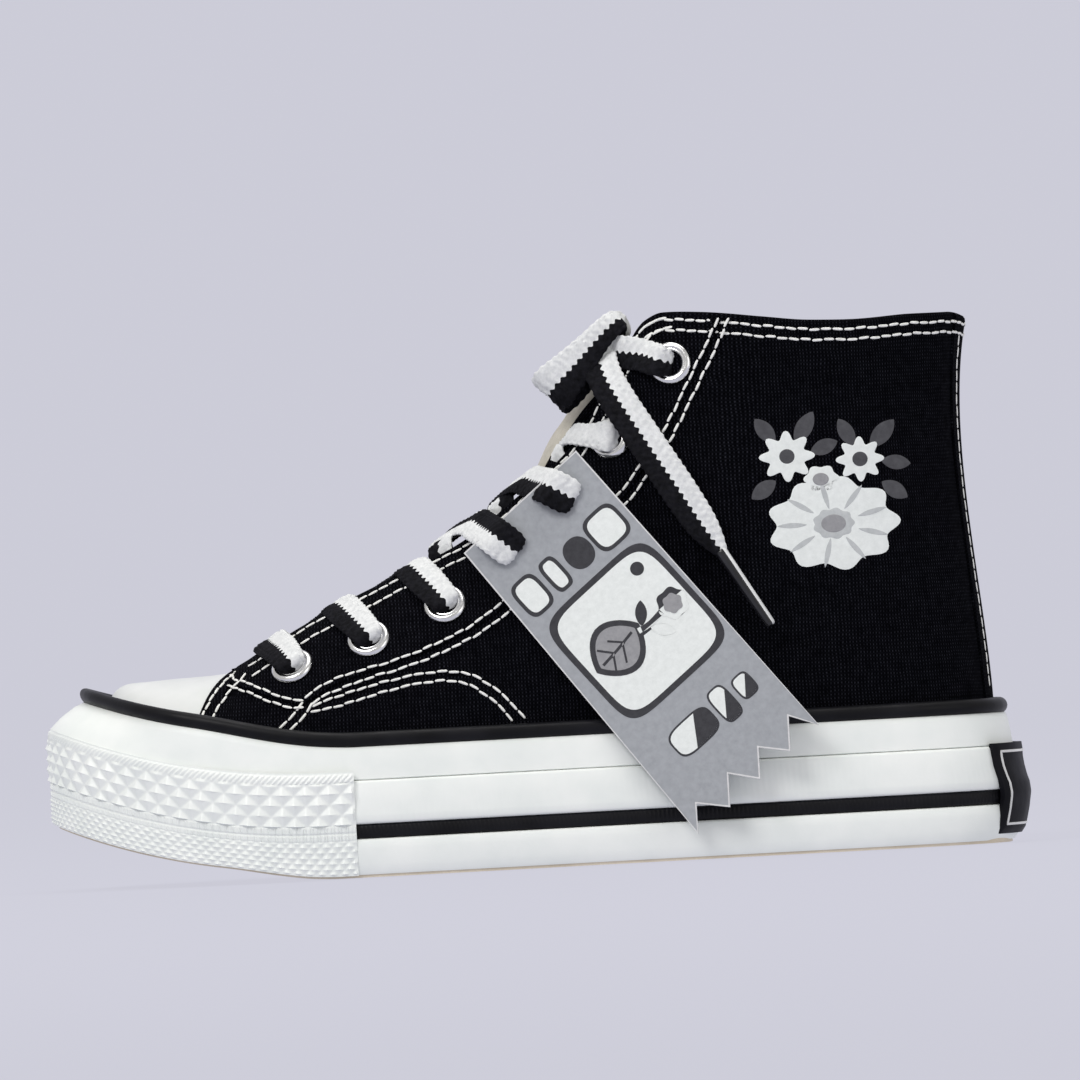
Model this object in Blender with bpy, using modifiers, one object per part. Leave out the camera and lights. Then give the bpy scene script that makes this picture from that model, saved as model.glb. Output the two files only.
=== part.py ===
"""A left high-top canvas sneaker with a layered rubber sole, a tied two-tone lace and a card tag.

Blender units are metres, +Z up. The toe points to -X and the outer (lateral) side faces -Y. The origin
is on the ground under the middle of the shoe's box. The constants and all working lengths below are in
millimetres, and MM turns them into metres.

Round the shoe, t counts from the toe tip (0) along the lateral side to the heel (12) and back along the
medial side to the toe (24). Up the canvas, b runs from the sole (0) to the throat or collar edge (1).
"""

import math

import bmesh
import bpy
import numpy as np
from mathutils import Matrix, Vector

MM = 0.001
GAP = 0.3
TURN = 24

# Plan of the side bands: half length, and the side of the outline at each t from toe to heel
HALF_LENGTH = 138.7
LATERAL_Y = [6, -14, -30.5, -42.5, -48.5, -48.3, -45, -40.3, -38.3, -36.6, -30.5, -18, 0]
MEDIAL_Y = [6, 24, 37.5, 46.2, 49.1, 45.7, 39, 35.5, 35, 35.3, 30, 17.5, 0]

# Sole: toe spring, heights above the curved underside, and distances in from the outline
SPRING_START_X = -62.0
SPRING_RATE = 0.0027
OUTSOLE_TOP = 4.0
LOWER_BAND_TOP = 11.0
STRIPE = (11.3, 15.0)
MID_BAND = (15.3, 27.2)
UPPER_BAND = (27.5, 37.0)
MIDSOLE = (4.3, 26.4)
BOARD = (26.7, 28.3)
SOCKLINER = (28.7, 32.7)
BAND_THICKNESS = 2.7
STRIPE_RECESS = 0.5
CORE_INSET = 3.0
BOARD_INSET = 6.6
SOCKLINER_INSET = 12.2
UPPER_BAND_LEAN = 2.6
UPPER_BAND_INNER = 5.8
PIPING_RADIUS = 2.0
PIPING_INSET = 3.9
PIPING_HEIGHT = 39.3
TOE_LEAN = 7.5
TOE_RISE = 4.5
WRAP_THICKNESS = 1.0
BUMPER_HALF_SPAN = 4.53
BUMPER = (0.8, 30.3)
LABEL_HALF_SPAN = 1.3
LABEL = (2.5, 28.0)

# Canvas layers: distances of each layer's middle from the canvas's outer face, and thicknesses
CANVAS_INSET = 7.5
CANVAS_FOOT = 28.7
OVERLAY = (1.1, 0.6)
CANVAS = (-0.45, 0.9)
STIFFENER = (-1.65, 0.6)
LINING = (-2.95, 0.8)
FACING = (-4.7, 0.7)

# Top line: t, x, half width, z along the toe's ridge, the throat edge and the collar
TOP_LINE = [
    (0, -113, 0, 58.4), (1, -110.5, 0, 58.5), (2, -103, 0, 58.9), (3, -91, 0, 59.4), (3.3, -84.5, 0, 60.2),
    (3.38, -83.6, 5.2, 60.8), (3.5, -81, 7.4, 62.2), (3.7, -76, 8.6, 65.3), (4, -68, 9.4, 70),
    (4.5, -53, 10, 77.8), (5, -37, 10.6, 85), (5.5, -19, 11.2, 93.2), (6, -2, 12, 105.5), (6.5, 16, 13, 121),
    (7, 33, 14.5, 148.5),
    (7.15, 37.5, 16, 154.5), (7.3, 43, 18, 156.7), (7.6, 54, 23.5, 156), (8, 70, 28, 153.8),
    (8.5, 84, 29.3, 152), (9, 97, 28.6, 151.5), (10, 114, 22.8, 152.2), (11, 125.3, 12.3, 152.2),
    (12, 129.2, 0, 151.2),
]
RIDGE_END = 3.3

# Handles of the canvas's up-curves at each t: from the foot, x, inward and up; from the top line, x,
# then the distance out from the shoe's middle, then up
HANDLES = [
    (0.5, 0, 16, -7, 0, 0), (0.5, 0, 16, -5, 8, 0), (0, 1, 17, -3, 14, 0), (0, 1, 18, 0, 20, -0.3),
    (0, 0, 20, 0, 25.4, -3.5), (0, 0.5, 28, 0, 25.6, -7), (0, 0, 38, 0, 25, -14),
    (0, -0.5, 42, 0, 26.5, -26), (0, -1.5, 42, 0, 25, -40), (0, 0, 40, 0, 23.6, -40),
    (0.5, 1, 36, -3, 17.8, -38), (1.5, 1, 36, -7, 9.3, -38), (1.5, 0, 36, -9, 0, -38),
]

# Side views (x, z) of the lateral side; the medial side mirrors them
CAP_SEAM = (2.9, 3.28)
EYESTAY_INNER = [
    (-84, 60.6), (-80, 62.6), (-74, 66.2), (-62, 73.2), (-46, 80.8), (-27, 89.3), (-12, 97.6), (4, 110),
    (17, 122.2), (27, 138), (35, 151), (43, 156.4),
]
EYESTAY_OUTER = [
    (-87, 57.6), (-76, 52.8), (-66, 50), (-56, 56), (-40, 60.5), (-20, 68), (-5, 77), (12, 90), (28, 104),
    (40, 119), (50, 136), (60, 154.8),
]
VAMP_TOP = [
    (-91, 55.2), (-77, 51.4), (-66.5, 48.6), (-55, 51.5), (-40, 54), (-25, 56), (-12, 51.8), (-3, 44.5),
]
VAMP_FOOT = (2.95, 6.0)
EYELETS = [(-68.1, 61.7), (-46.2, 67.6), (-24, 76.8), (-4, 91.5), (13, 105.5), (26.8, 121), (44.5, 141.6)]
HEEL_STAY = (11.2, 12.8)

# Tongue: its stretch along the top line, and how far its edges and middle lie under the canvas
TONGUE_SPAN = (3.6, 7.1)
TONGUE_EDGE_B = 0.8
TONGUE_EDGE_DEPTH = 6.3
TONGUE_DROP = 4.4
TONGUE_THICKNESS = 2.0

EYELET_RADIUS = 4.35
EYELET_WIRE = 1.45
EYELET_HEIGHT = 0.8
EYELET_LIFT = 2.6

# Lace, flat: width and thickness, where each strand crosses the throat edge (as t on the top line),
# and heights above the canvas from the eyelet to that crossing
LACE_WIDTH = 8.0
LACE_THICKNESS = 1.3
LACE_EDGE_T = (3.66, 4.4, 5.0, 5.5, 6.0, 6.44, 6.93)
LACE_LIFTS = (5.1, 5.5, 5.0, 4.3)
LACE_GAP_LIFT = 1.4
LACE_BAR_LIFT = 4.2
LACE_MIDDLE_GAP = 2.0
LACE_EDGE_B = 0.995
LACE_BACK = 0.15
TAG_STRANDS = {4: -11.0, 5: 11.0}
KNOT = (25.0, 0.0, 145.5)
KNOT_RADII = (5.5, 7.5, 5.5)
KNOT_SIDE = (25.5, 9.3, 146.3)
LOOP_PATH = [
    (27.5, 9.0, 152.2), (30, 10.5, 155.5), (27, 13.5, 156), (18, 15.5, 145.5), (10, 16, 136),
    (8, 13.5, 132.5), (11, 11, 134.5), (17, 10, 141.5),
]
LOOP_ACROSS = (-0.75, 0.0, 0.67)
FREE_END_PATH = [(21.8, 17.4, 139.9), (28.5, 23.4, 135.6), (34, 26.5, 128), (45, 31.5, 107), (56, 33.5, 87)]
FREE_END_ACROSS = (0.89, 0.0, 0.45)
AGLET_END = (69, 35.5, 65.5)
AGLET_RADIUS = 1.7

# Card tag: size, the middle of the line through its two holes, and directions along and down it
TAG_WIDTH = 43.4
TAG_THICKNESS = 0.5
TAG_TOP = 8.0
TAG_HOLE_RADIUS = 2.6
TAG_HOLE_HALF_PITCH = 11.0
TAG_LACE_LIFT = 1.7
TAG_LACE_BACK = 4.0
TAG_LACE_OVER = 1.0
TAG_HINGE = (4.3, -30.4, 98.4)
TAG_ALONG = (17.0, 0.0, 14.0)
TAG_DOWN = (58.5, -17.0, -72.0)
TAG_TEETH = [
    (45, 7.5), (45, 16), (54.5, 14.5), (54.5, 24), (63.5, 22), (63.5, 31), (72.5, 29.5), (72.5, 39.5),
    (81, 36.5),
]

COLOURS = {
    "white_rubber": (0.84, 0.86, 0.84, 1), "black_rubber": (0.012, 0.012, 0.014, 1),
    "tan_rubber": (0.55, 0.40, 0.24, 1), "midsole_foam": (0.70, 0.70, 0.66, 1),
    "canvas_black": (0.010, 0.010, 0.013, 1), "lining_cloth": (0.55, 0.52, 0.46, 1),
    "label_black": (0.02, 0.02, 0.022, 1), "metal_silver": (0.75, 0.75, 0.77, 1),
    "lace_cotton": (0.45, 0.45, 0.45, 1), "card_grey": (0.20, 0.20, 0.215, 1),
    "fibre_board": (0.48, 0.38, 0.26, 1), "footbed_foam": (0.10, 0.10, 0.11, 1),
    "aglet_plastic": (0.02, 0.02, 0.02, 1), "stiffener": (0.6, 0.58, 0.52, 1),
}


def smooth(x):
    """Rises from 0 to 1 as x does, level at both ends."""
    x = np.clip(x, 0.0, 1.0)
    return x * x * (3.0 - 2.0 * x)


def spline_bends(values):
    """Second derivatives of the closed cubic spline through equally spaced values."""
    unit = np.eye(len(values))
    system = 4.0 * unit + np.roll(unit, 1, axis=1) + np.roll(unit, -1, axis=1)
    return np.linalg.solve(system, 6.0 * (np.roll(values, -1) - 2.0 * values + np.roll(values, 1)))


def closed_spline(values, bends, t):
    """The closed cubic spline at t, counted in values."""
    start = np.floor(t).astype(int)
    far = t - start
    near = 1.0 - far
    a = start % len(values)
    b = (start + 1) % len(values)
    line = near * values[a] + far * values[b]
    return line + ((near**3 - near) * bends[a] + (far**3 - far) * bends[b]) / 6.0


def mirrored(values):
    """The 13 lateral values, then the same ones back along the medial side."""
    values = np.array(values, float)
    return np.concatenate([values, values[11:0:-1]])


OUTLINE_Y = np.array(LATERAL_Y + MEDIAL_Y[11:0:-1], float)
OUTLINE_BENDS = spline_bends(OUTLINE_Y)
HANDLE_VALUES = [mirrored(column) for column in zip(*HANDLES)]
HANDLE_BENDS = [spline_bends(values) for values in HANDLE_VALUES]


def outline(t):
    """Plan position of the bands' outer face."""
    x = -HALF_LENGTH * np.cos(t * math.pi / 12)
    return np.stack([x, closed_spline(OUTLINE_Y, OUTLINE_BENDS, t)], axis=-1)


def underside(x):
    """Height of the sole's curved underside: flat, then rising towards the toe."""
    return SPRING_RATE * np.maximum(0.0, SPRING_START_X - x) ** 2


def toe_lean(t):
    return TOE_LEAN * smooth((-100.0 - outline(t)[..., 0]) / 38.0)


def toe_rise(t):
    return TOE_RISE * smooth((-50.0 - outline(t)[..., 0]) / 50.0)


def rim(t, inset, height):
    """Point at a distance in from the outline and a height above the underside."""
    step = 0.01
    here = outline(t)
    along = outline(t + step) - outline(t - step)
    along /= np.linalg.norm(along, axis=-1, keepdims=True)
    outward = np.stack([along[..., 1], -along[..., 0]], axis=-1)
    plan = here - outward * np.asarray(inset)[..., None]
    return np.concatenate([plan, (underside(plan[..., 0]) + height)[..., None]], axis=-1)


def through(points, t):
    """Smooth curve through rows of (t, values...) without overshoot."""
    table = np.array(points, float)
    knots = table[:, 0]
    rows = table[:, 1:]
    rates = np.diff(rows, axis=0) / np.diff(knots)[:, None]
    before, after = rates[:-1], rates[1:]
    product = before * after
    total = np.where(np.abs(before + after) > 1e-9, before + after, 1.0)
    inner = np.where(product > 0, 2.0 * product / total, 0.0)
    slopes = np.concatenate([rates[:1], inner, rates[-1:]])
    i = np.clip(np.searchsorted(knots, t, side="right") - 1, 0, len(knots) - 2)
    width = (knots[i + 1] - knots[i])[..., None]
    f = (t - knots[i])[..., None] / width
    start = rows[i] * (1 + 2 * f) * (1 - f) ** 2 + rows[i + 1] * f * f * (3 - 2 * f)
    return start + width * (slopes[i] * f * (1 - f) ** 2 - slopes[i + 1] * f * f * (1 - f))


def with_mirrored_ends(points):
    """The top line with one mirrored point past the toe and one past the heel, for its end slopes."""
    first = points[1]
    last = points[-2]
    before = (-first[0], first[1], -first[2], first[3])
    after = (TURN - last[0], last[1], -last[2], last[3])
    return [before] + points + [after]


TOP_KNOTS = with_mirrored_ends(TOP_LINE)


def side_sign(t):
    """-1 on the lateral side and 1 on the medial side."""
    return np.where(np.mod(t, TURN) <= TURN / 2, -1.0, 1.0)


def from_toe(t):
    """t folded on to the lateral side."""
    t = np.mod(t, TURN)
    return np.minimum(t, TURN - t)


def middle_y(x):
    """The shoe's middle: straight, then bending to the medial side at the toe."""
    return 4.5 * smooth((-80.0 - x) / 33.0)


def top_line(t):
    """Point of the toe's ridge, the throat edge or the collar."""
    x, half, z = np.moveaxis(through(TOP_KNOTS, from_toe(t)), -1, 0)
    return np.stack([x, middle_y(x) + side_sign(t) * half, z], axis=-1)


def canvas_poles(t):
    """The four control points of the canvas's up-curve at t."""
    sign = side_sign(t)
    fx, fin, fz, tx, tout, tz = [closed_spline(v, k, t) for v, k in zip(HANDLE_VALUES, HANDLE_BENDS)]
    foot = rim(t, CANVAS_INSET + toe_lean(t), CANVAS_FOOT)
    top = top_line(t)
    out_y = middle_y(top[..., 0]) + sign * tout
    under_top = np.stack([top[..., 0] + tx, out_y, top[..., 2] + tz], -1)
    return foot, foot + np.stack([fx, -sign * fin, fz], -1), under_top, top


def canvas(t, b):
    """Point on the canvas's outer face."""
    t, b = np.broadcast_arrays(np.asarray(t, float), np.asarray(b, float))
    p0, p1, p2, p3 = canvas_poles(t)
    b = b[..., None]
    return p0 * (1 - b) ** 3 + 3 * p1 * b * (1 - b) ** 2 + 3 * p2 * b * b * (1 - b) + p3 * b**3


def canvas_normal(t, b):
    """Outward direction of the canvas. Along the toe's ridge both sides share one."""
    step = 0.01
    t, b = np.broadcast_arrays(np.asarray(t, float), np.asarray(b, float))
    inner_b = np.clip(b, 0.005, 0.985)
    along = canvas(t + step, inner_b) - canvas(t - step, inner_b)
    up = canvas(t, inner_b + step) - canvas(t, inner_b - step)
    normal = np.cross(along, up)
    normal /= np.linalg.norm(normal, axis=-1, keepdims=True)
    on_ridge = (from_toe(t) <= RIDGE_END + 1e-6) & (b > 0.999)
    return np.where(on_ridge[..., None], np.array([-0.03, 0.0, 1.0]), normal)


def layer(t, b, offset):
    """Point at a distance out from the canvas's outer face."""
    return canvas(t, b) + canvas_normal(t, b) * np.asarray(offset)[..., None]


def locate(points):
    """(t, b) of lateral canvas points given by their side view (x, z)."""
    target = np.array(points, float)
    t = 12.0 * np.arccos(np.clip(-target[:, 0] / HALF_LENGTH, -1, 1)) / math.pi
    b = np.full(len(target), 0.6)
    step = 1e-4
    for _ in range(40):
        here = canvas(t, b)[:, [0, 2]]
        by_t = (canvas(t + step, b)[:, [0, 2]] - here) / step
        by_b = (canvas(t, b + step)[:, [0, 2]] - here) / step
        miss = target - here
        det = by_t[:, 0] * by_b[:, 1] - by_t[:, 1] * by_b[:, 0]
        t = t + 0.6 * (miss[:, 0] * by_b[:, 1] - miss[:, 1] * by_b[:, 0]) / det
        b = b + 0.6 * (by_t[:, 0] * miss[:, 1] - by_t[:, 1] * miss[:, 0]) / det
        t = np.clip(t, 0.05, 11.95)
        b = np.clip(b, 0.0, 1.0)
    return np.stack([t, b], axis=-1)


def resample(points, u):
    """Position at u (0 to 1) along a smooth curve through points, evenly by count."""
    table = [(k / (len(points) - 1), *p) for k, p in enumerate(points)]
    return through(table, np.asarray(u, float))


def clear_scene():
    for obj in list(bpy.data.objects):
        bpy.data.objects.remove(obj)


def material(name):
    found = bpy.data.materials.get(name)
    if found:
        return found
    made = bpy.data.materials.new(name)
    made.use_nodes = True
    shader = made.node_tree.nodes["Principled BSDF"]
    shader.inputs["Base Color"].default_value = COLOURS[name]
    shader.inputs["Roughness"].default_value = 0.2 if name == "metal_silver" else 0.6
    shader.inputs["Metallic"].default_value = 1.0 if name == "metal_silver" else 0.0
    return made


def add_object(name, data, colour, smooth_shaded=True):
    obj = bpy.data.objects.new(name, data)
    bpy.data.collections["cheer_shoe"].objects.link(obj)
    own = material(colour).copy()
    own.name = name
    data.materials.append(own)
    if smooth_shaded and obj.type == "MESH":
        data.shade_smooth()
        data.set_sharp_from_angle(angle=math.radians(40))
    return obj


def grid_mesh(name, mapping, cells_u, cells_v, closed=False):
    """A grid whose points (u, v), each 0 to 1, move to mapping(u, v) in millimetres."""
    shape = bmesh.new()
    bmesh.ops.create_grid(shape, x_segments=cells_u, y_segments=cells_v, size=0.5)
    flat = np.array([vert.co[:2] for vert in shape.verts]) + 0.5
    placed = mapping(np.clip(flat[:, 0], 0, 1), np.clip(flat[:, 1], 0, 1)) * MM
    for vert, place in zip(shape.verts, placed):
        vert.co = place
    bmesh.ops.remove_doubles(shape, verts=shape.verts, dist=1e-6)
    bmesh.ops.dissolve_degenerate(shape, edges=shape.edges, dist=1e-6)
    if closed:
        bmesh.ops.recalc_face_normals(shape, faces=shape.faces)
    mesh = bpy.data.meshes.new(name)
    shape.to_mesh(mesh)
    shape.free()
    return mesh


def add_sheet(name, mapping, cells_u, cells_v, thickness, colour):
    """An open surface made solid about its middle."""
    obj = add_object(name, grid_mesh(name, mapping, cells_u, cells_v), colour)
    solid = obj.modifiers.new("thickness", "SOLIDIFY")
    solid.thickness = thickness * MM
    solid.offset = 0.0
    solid.use_even_offset = False
    return obj


def add_closed(name, mapping, cells_u, cells_v, colour):
    return add_object(name, grid_mesh(name, mapping, cells_u, cells_v, closed=True), colour)


def corner_of(v, count):
    """Index of the profile point that v stands for, wrapping to the first."""
    return np.round(v * count).astype(int) % count


# Sole


def add_plate(name, inset, heights, colour, lean=0.0, cells=36):
    """A slab that fills the outline, set in by inset and by lean at the toe."""

    def place(u, v):
        corner = corner_of(v, 4)
        t = 12.0 * u
        side = np.where((corner == 0) | (corner == 3), t, TURN - t)
        height = np.where(corner < 2, heights[0], heights[1])
        return rim(side, inset + lean * toe_lean(t) / TOE_LEAN, height)

    return add_closed(name, place, cells, 4, colour)


def add_band(name, heights, outer, inner, colour, rise=0.0, lean=0.0, cells=56):
    """A ring round the sole: outer and inner are insets at the bottom and the top edge."""

    def place(u, v):
        corner = corner_of(v, 4)
        t = TURN * u
        inset = np.choose(corner, [outer[0], outer[1], inner[1], inner[0]])
        high = (corner == 1) | (corner == 2)
        inset = inset + np.where(high, lean * toe_lean(t) / TOE_LEAN, 0.0)
        height = np.where(high, heights[1] + rise * toe_rise(t) / TOE_RISE, heights[0])
        return rim(t, inset, height)

    return add_closed(name, place, cells, 4, colour)


def add_piping(cells=56, sides=6):
    def place(u, v):
        t = TURN * u
        angle = math.tau * corner_of(v, sides) / sides
        inset = PIPING_INSET + toe_lean(t) + PIPING_RADIUS * np.cos(angle)
        height = PIPING_HEIGHT + toe_rise(t) + PIPING_RADIUS * np.sin(angle)
        return rim(t, inset, height)

    return add_closed("top_piping", place, cells, sides, "black_rubber")


def add_wrap(name, middle, half_span, heights, colour, cells, rise=0.0):
    """A sheet on the outside of the bands."""

    def place(u, v):
        t = middle + half_span * (2.0 * u - 1.0)
        top = heights[1] + rise * toe_rise(t) / TOE_RISE
        outside = -(GAP + WRAP_THICKNESS / 2)
        return rim(t, np.full_like(t, outside), heights[0] + v * (top - heights[0]))

    return add_sheet(name, place, cells, 3, WRAP_THICKNESS, colour)


def add_sole():
    add_plate("outsole", 1.0, (0.0, OUTSOLE_TOP), "tan_rubber")
    add_plate("midsole", CORE_INSET, MIDSOLE, "midsole_foam")
    add_plate("insole_board", BOARD_INSET, BOARD, "fibre_board")
    add_plate("sockliner", SOCKLINER_INSET, SOCKLINER, "footbed_foam", lean=TOE_LEAN)
    add_band("foxing_stripe", STRIPE, (STRIPE_RECESS,) * 2, (BAND_THICKNESS,) * 2, "black_rubber")
    add_band("foxing_mid_band", MID_BAND, (0, 0), (BAND_THICKNESS,) * 2, "white_rubber")
    add_band(
        "foxing_upper_band", UPPER_BAND, (0.7, UPPER_BAND_LEAN), (UPPER_BAND_INNER - 0.1, UPPER_BAND_INNER),
        "white_rubber", rise=TOE_RISE, lean=TOE_LEAN,
    )
    add_piping()
    add_wrap("toe_bumper", 0.0, BUMPER_HALF_SPAN, BUMPER, "white_rubber", 24, rise=1.7)
    add_wrap("heel_label", 12.0, LABEL_HALF_SPAN, LABEL, "label_black", 10)


def add_lower_band():
    """The lowest band stands round the outsole's edge and the midsole."""
    step_height = OUTSOLE_TOP + GAP

    def place(u, v):
        corner = corner_of(v, 4)
        inset = np.choose(corner, [0.0, 0.0, BAND_THICKNESS, BAND_THICKNESS])
        height = np.choose(corner, [step_height, LOWER_BAND_TOP, LOWER_BAND_TOP, step_height])
        return rim(TURN * u, inset, height)

    return add_closed("foxing_lower_band", place, 56, 4, "white_rubber")


# Canvas


def add_layer(name, t_range, b_range, spec, colour, cells_u, cells_v):
    """A patch of a canvas layer between two values of t and two of b."""

    def place(u, v):
        t = t_range[0] + u * (t_range[1] - t_range[0])
        b = b_range[0] + v * (b_range[1] - b_range[0])
        return layer(t, b, np.full_like(t, spec[0]))

    return add_sheet(name, place, cells_u, cells_v, spec[1], colour)


def cap_place(shrink, offset):
    """The dome in front of the cap seam, as a mapping of the unit square."""

    def place(u, v):
        seam = CAP_SEAM[0] + v * (CAP_SEAM[1] - CAP_SEAM[0]) - shrink
        t = np.mod(seam * (2.0 * u - 1.0), TURN)
        return layer(t, v, np.full_like(t, offset))

    return place


def quarter_place(side):
    """Side panel from the cap seam to the heel, with a small gap at both ends."""

    def place(u, v):
        front = CAP_SEAM[0] + v * (RIDGE_END - CAP_SEAM[0]) + 0.06
        t = front + (11.985 - front) * u
        t = t if side < 0 else TURN - t
        return layer(t, v, np.full_like(t, CANVAS[0]))

    return place


def strip_place(side, inner, outer, offset):
    """Overlay between two curves given in (t, b)."""

    def place(u, v):
        near = resample(inner, u)
        far = resample(outer, u)
        t, b = np.moveaxis(far + (near - far) * v[:, None], -1, 0)
        t = t if side < 0 else TURN - t
        return layer(t, np.clip(b, 0.02, 0.995), np.full_like(t, offset))

    return place


def vamp_foot(count):
    return [(VAMP_FOOT[0] + (VAMP_FOOT[1] - VAMP_FOOT[0]) * k / (count - 1), 0.03) for k in range(count)]


def tongue_place(u, v):
    """The tongue's middle surface: an arch just under the throat, joined to a flat tip above it."""
    t = TONGUE_SPAN[0] + (TONGUE_SPAN[1] - TONGUE_SPAN[0]) * u
    lateral = layer(t, np.full_like(t, TONGUE_EDGE_B), np.full_like(t, -TONGUE_EDGE_DEPTH))
    medial = layer(TURN - t, np.full_like(t, TONGUE_EDGE_B), np.full_like(t, -TONGUE_EDGE_DEPTH))
    step = 0.02
    centre = (top_line(t) + top_line(TURN - t)) / 2
    along = top_line(t + step) - top_line(t - step)
    along[:, 1] = 0.0
    along /= np.linalg.norm(along, axis=1, keepdims=True)
    centre = centre - np.stack([-along[:, 2], 0 * t, along[:, 0]], -1) * TONGUE_DROP
    mid_pole = (8 * centre - lateral - medial) / 6
    reach = np.stack([0 * t, top_line(TURN - t)[:, 1] * 1.05, 0 * t], -1)
    v = v[:, None]
    inner = 3 * (mid_pole - reach) * v * (1 - v) ** 2 + 3 * (mid_pole + reach) * v * v * (1 - v)
    return lateral * (1 - v) ** 3 + inner + medial * v**3


def add_upper():
    add_sheet("toe_cap", cap_place(0.0, CANVAS[0]), 20, 6, CANVAS[1], "white_rubber")
    add_sheet("toe_puff", cap_place(0.15, STIFFENER[0]), 16, 5, STIFFENER[1], "stiffener")
    add_layer("heel_counter", (9.6, 14.4), (0.02, 0.42), STIFFENER, "stiffener", 12, 3)
    add_layer("lining", (-11.985, 11.985), (0.0, 1.0), LINING, "lining_cloth", 44, 6)
    add_layer("collar_facing", (7.7, 16.3), (0.93, 1.0), FACING, "lining_cloth", 22, 1)
    add_layer("heel_stay", HEEL_STAY, (0.02, 0.995), OVERLAY, "canvas_black", 4, 8)
    inner = locate(EYESTAY_INNER)
    outer = locate(EYESTAY_OUTER)
    vamp_top = locate(VAMP_TOP)
    for side, word in ((-1, "lateral"), (1, "medial")):
        add_sheet("quarter_" + word, quarter_place(side), 26, 8, CANVAS[1], "canvas_black")
        strip = strip_place(side, inner, outer, OVERLAY[0])
        add_sheet("eyestay_" + word, strip, 18, 6, OVERLAY[1], "canvas_black")
        patch = strip_place(side, vamp_top, vamp_foot(len(vamp_top)), OVERLAY[0])
        add_sheet("vamp_" + word, patch, 16, 6, OVERLAY[1], "canvas_black")
    add_sheet("tongue", tongue_place, 16, 6, TONGUE_THICKNESS, "canvas_black")


# Lacing


def frame_at(t, b):
    """Matrix of axes on the canvas: X along the shoe, Z outward."""
    place = layer(np.array([t]), np.array([b]), np.array([EYELET_LIFT]))[0]
    normal = Vector(canvas_normal(np.array([t]), np.array([b]))[0])
    turn = normal.to_track_quat("Z", "Y").to_matrix().to_4x4()
    return Matrix.Translation(Vector(place) * MM) @ turn


def add_eyelet(name, t, b):
    bpy.ops.mesh.primitive_torus_add(
        major_segments=14, minor_segments=5, major_radius=EYELET_RADIUS * MM, minor_radius=EYELET_WIRE * MM
    )
    made = bpy.context.object
    mesh = made.data
    bpy.data.objects.remove(made)
    mesh.transform(Matrix.Diagonal((1, 1, EYELET_HEIGHT / EYELET_WIRE, 1)))
    obj = add_object(name, mesh, "metal_silver")
    obj.matrix_world = frame_at(t, b)
    return obj


def add_ribbon(name, points, across, cells):
    """A flat length of lace along a smooth curve through points. across gives its width direction."""
    points = np.array(points, float)
    across = np.array(across, float)

    def place(u, v):
        along = resample(points, np.clip(u + 0.01, 0, 1)) - resample(points, np.clip(u - 0.01, 0, 1))
        along /= np.linalg.norm(along, axis=1, keepdims=True)
        wide = resample(across, u)
        wide -= along * (wide * along).sum(axis=1, keepdims=True)
        wide /= np.linalg.norm(wide, axis=1, keepdims=True)
        return resample(points, u) + wide * ((v - 0.5) * LACE_WIDTH)[:, None]

    return add_sheet(name, place, cells, 1, LACE_THICKNESS, "lace_cotton")


def throat_middle(t, lift):
    """Point over the middle of the throat, at a height above the line between its edges."""
    step = 0.02
    around = np.array([t - step, t, t + step])
    ends = (top_line(around) + top_line(TURN - around)) / 2
    along = (ends[2] - ends[0]) / np.linalg.norm(ends[2] - ends[0])
    return ends[1] + np.array([-along[2], 0.0, along[0]]) * lift


def strand(side, row, t, b):
    """Points and width directions of one visible strand, from its eyelet up over the throat edge."""
    edge_t = LACE_EDGE_T[row - 1]
    steps = np.linspace(0.0, 1.0, len(LACE_LIFTS))
    line_t = t + (edge_t - t) * steps
    line_b = b + (LACE_EDGE_B - b) * steps
    if side > 0:
        line_t = TURN - line_t
    points = list(layer(line_t, line_b, np.array(LACE_LIFTS)))
    if side < 0 and row in TAG_STRANDS:
        along, down, normal = (np.array(axis) for axis in tag_axes())
        on_tag = np.array(TAG_HINGE) + along * TAG_STRANDS[row] + normal * TAG_LACE_LIFT
        over_top = on_tag - along * TAG_LACE_BACK - down * (TAG_TOP + TAG_LACE_OVER)
        points = [on_tag, over_top, points[-1]]
    return points


def widths_along(points, side):
    """Width directions that keep a strand flat on the shoe: along the throat, at right angles to it."""
    up_throat = np.array([0.75, -side * 0.12, 0.65])
    return [up_throat] * len(points)


def add_lacing():
    spots = locate(EYELETS)
    for k, (t, b) in enumerate(spots, start=1):
        add_eyelet(f"eyelet_lateral_{k}", t, b)
        add_eyelet(f"eyelet_medial_{k}", TURN - t, b)
    lateral = strand(-1, 1, *spots[0])
    medial = strand(1, 1, *spots[0])
    middle = throat_middle(LACE_EDGE_T[0], LACE_BAR_LIFT)
    path = lateral + [middle] + medial[::-1]
    add_ribbon("lace_bar_1", path, widths_along(path, 0), 16)
    for row in range(2, len(spots) + 1):
        for side, word in ((-1, "lateral"), (1, "medial")):
            points = strand(side, row, *spots[row - 1])
            if row == len(spots):
                points.append(np.array(KNOT_SIDE) * [1, side, 1])
            else:
                centre = throat_middle(LACE_EDGE_T[row - 1] - LACE_BACK, LACE_GAP_LIFT)
                points.append(centre + np.array([0, side * (LACE_WIDTH + LACE_MIDDLE_GAP) / 2, 0]))
            add_ribbon(f"lace_{word}_{row}", points, widths_along(points, side), 8)


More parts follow.
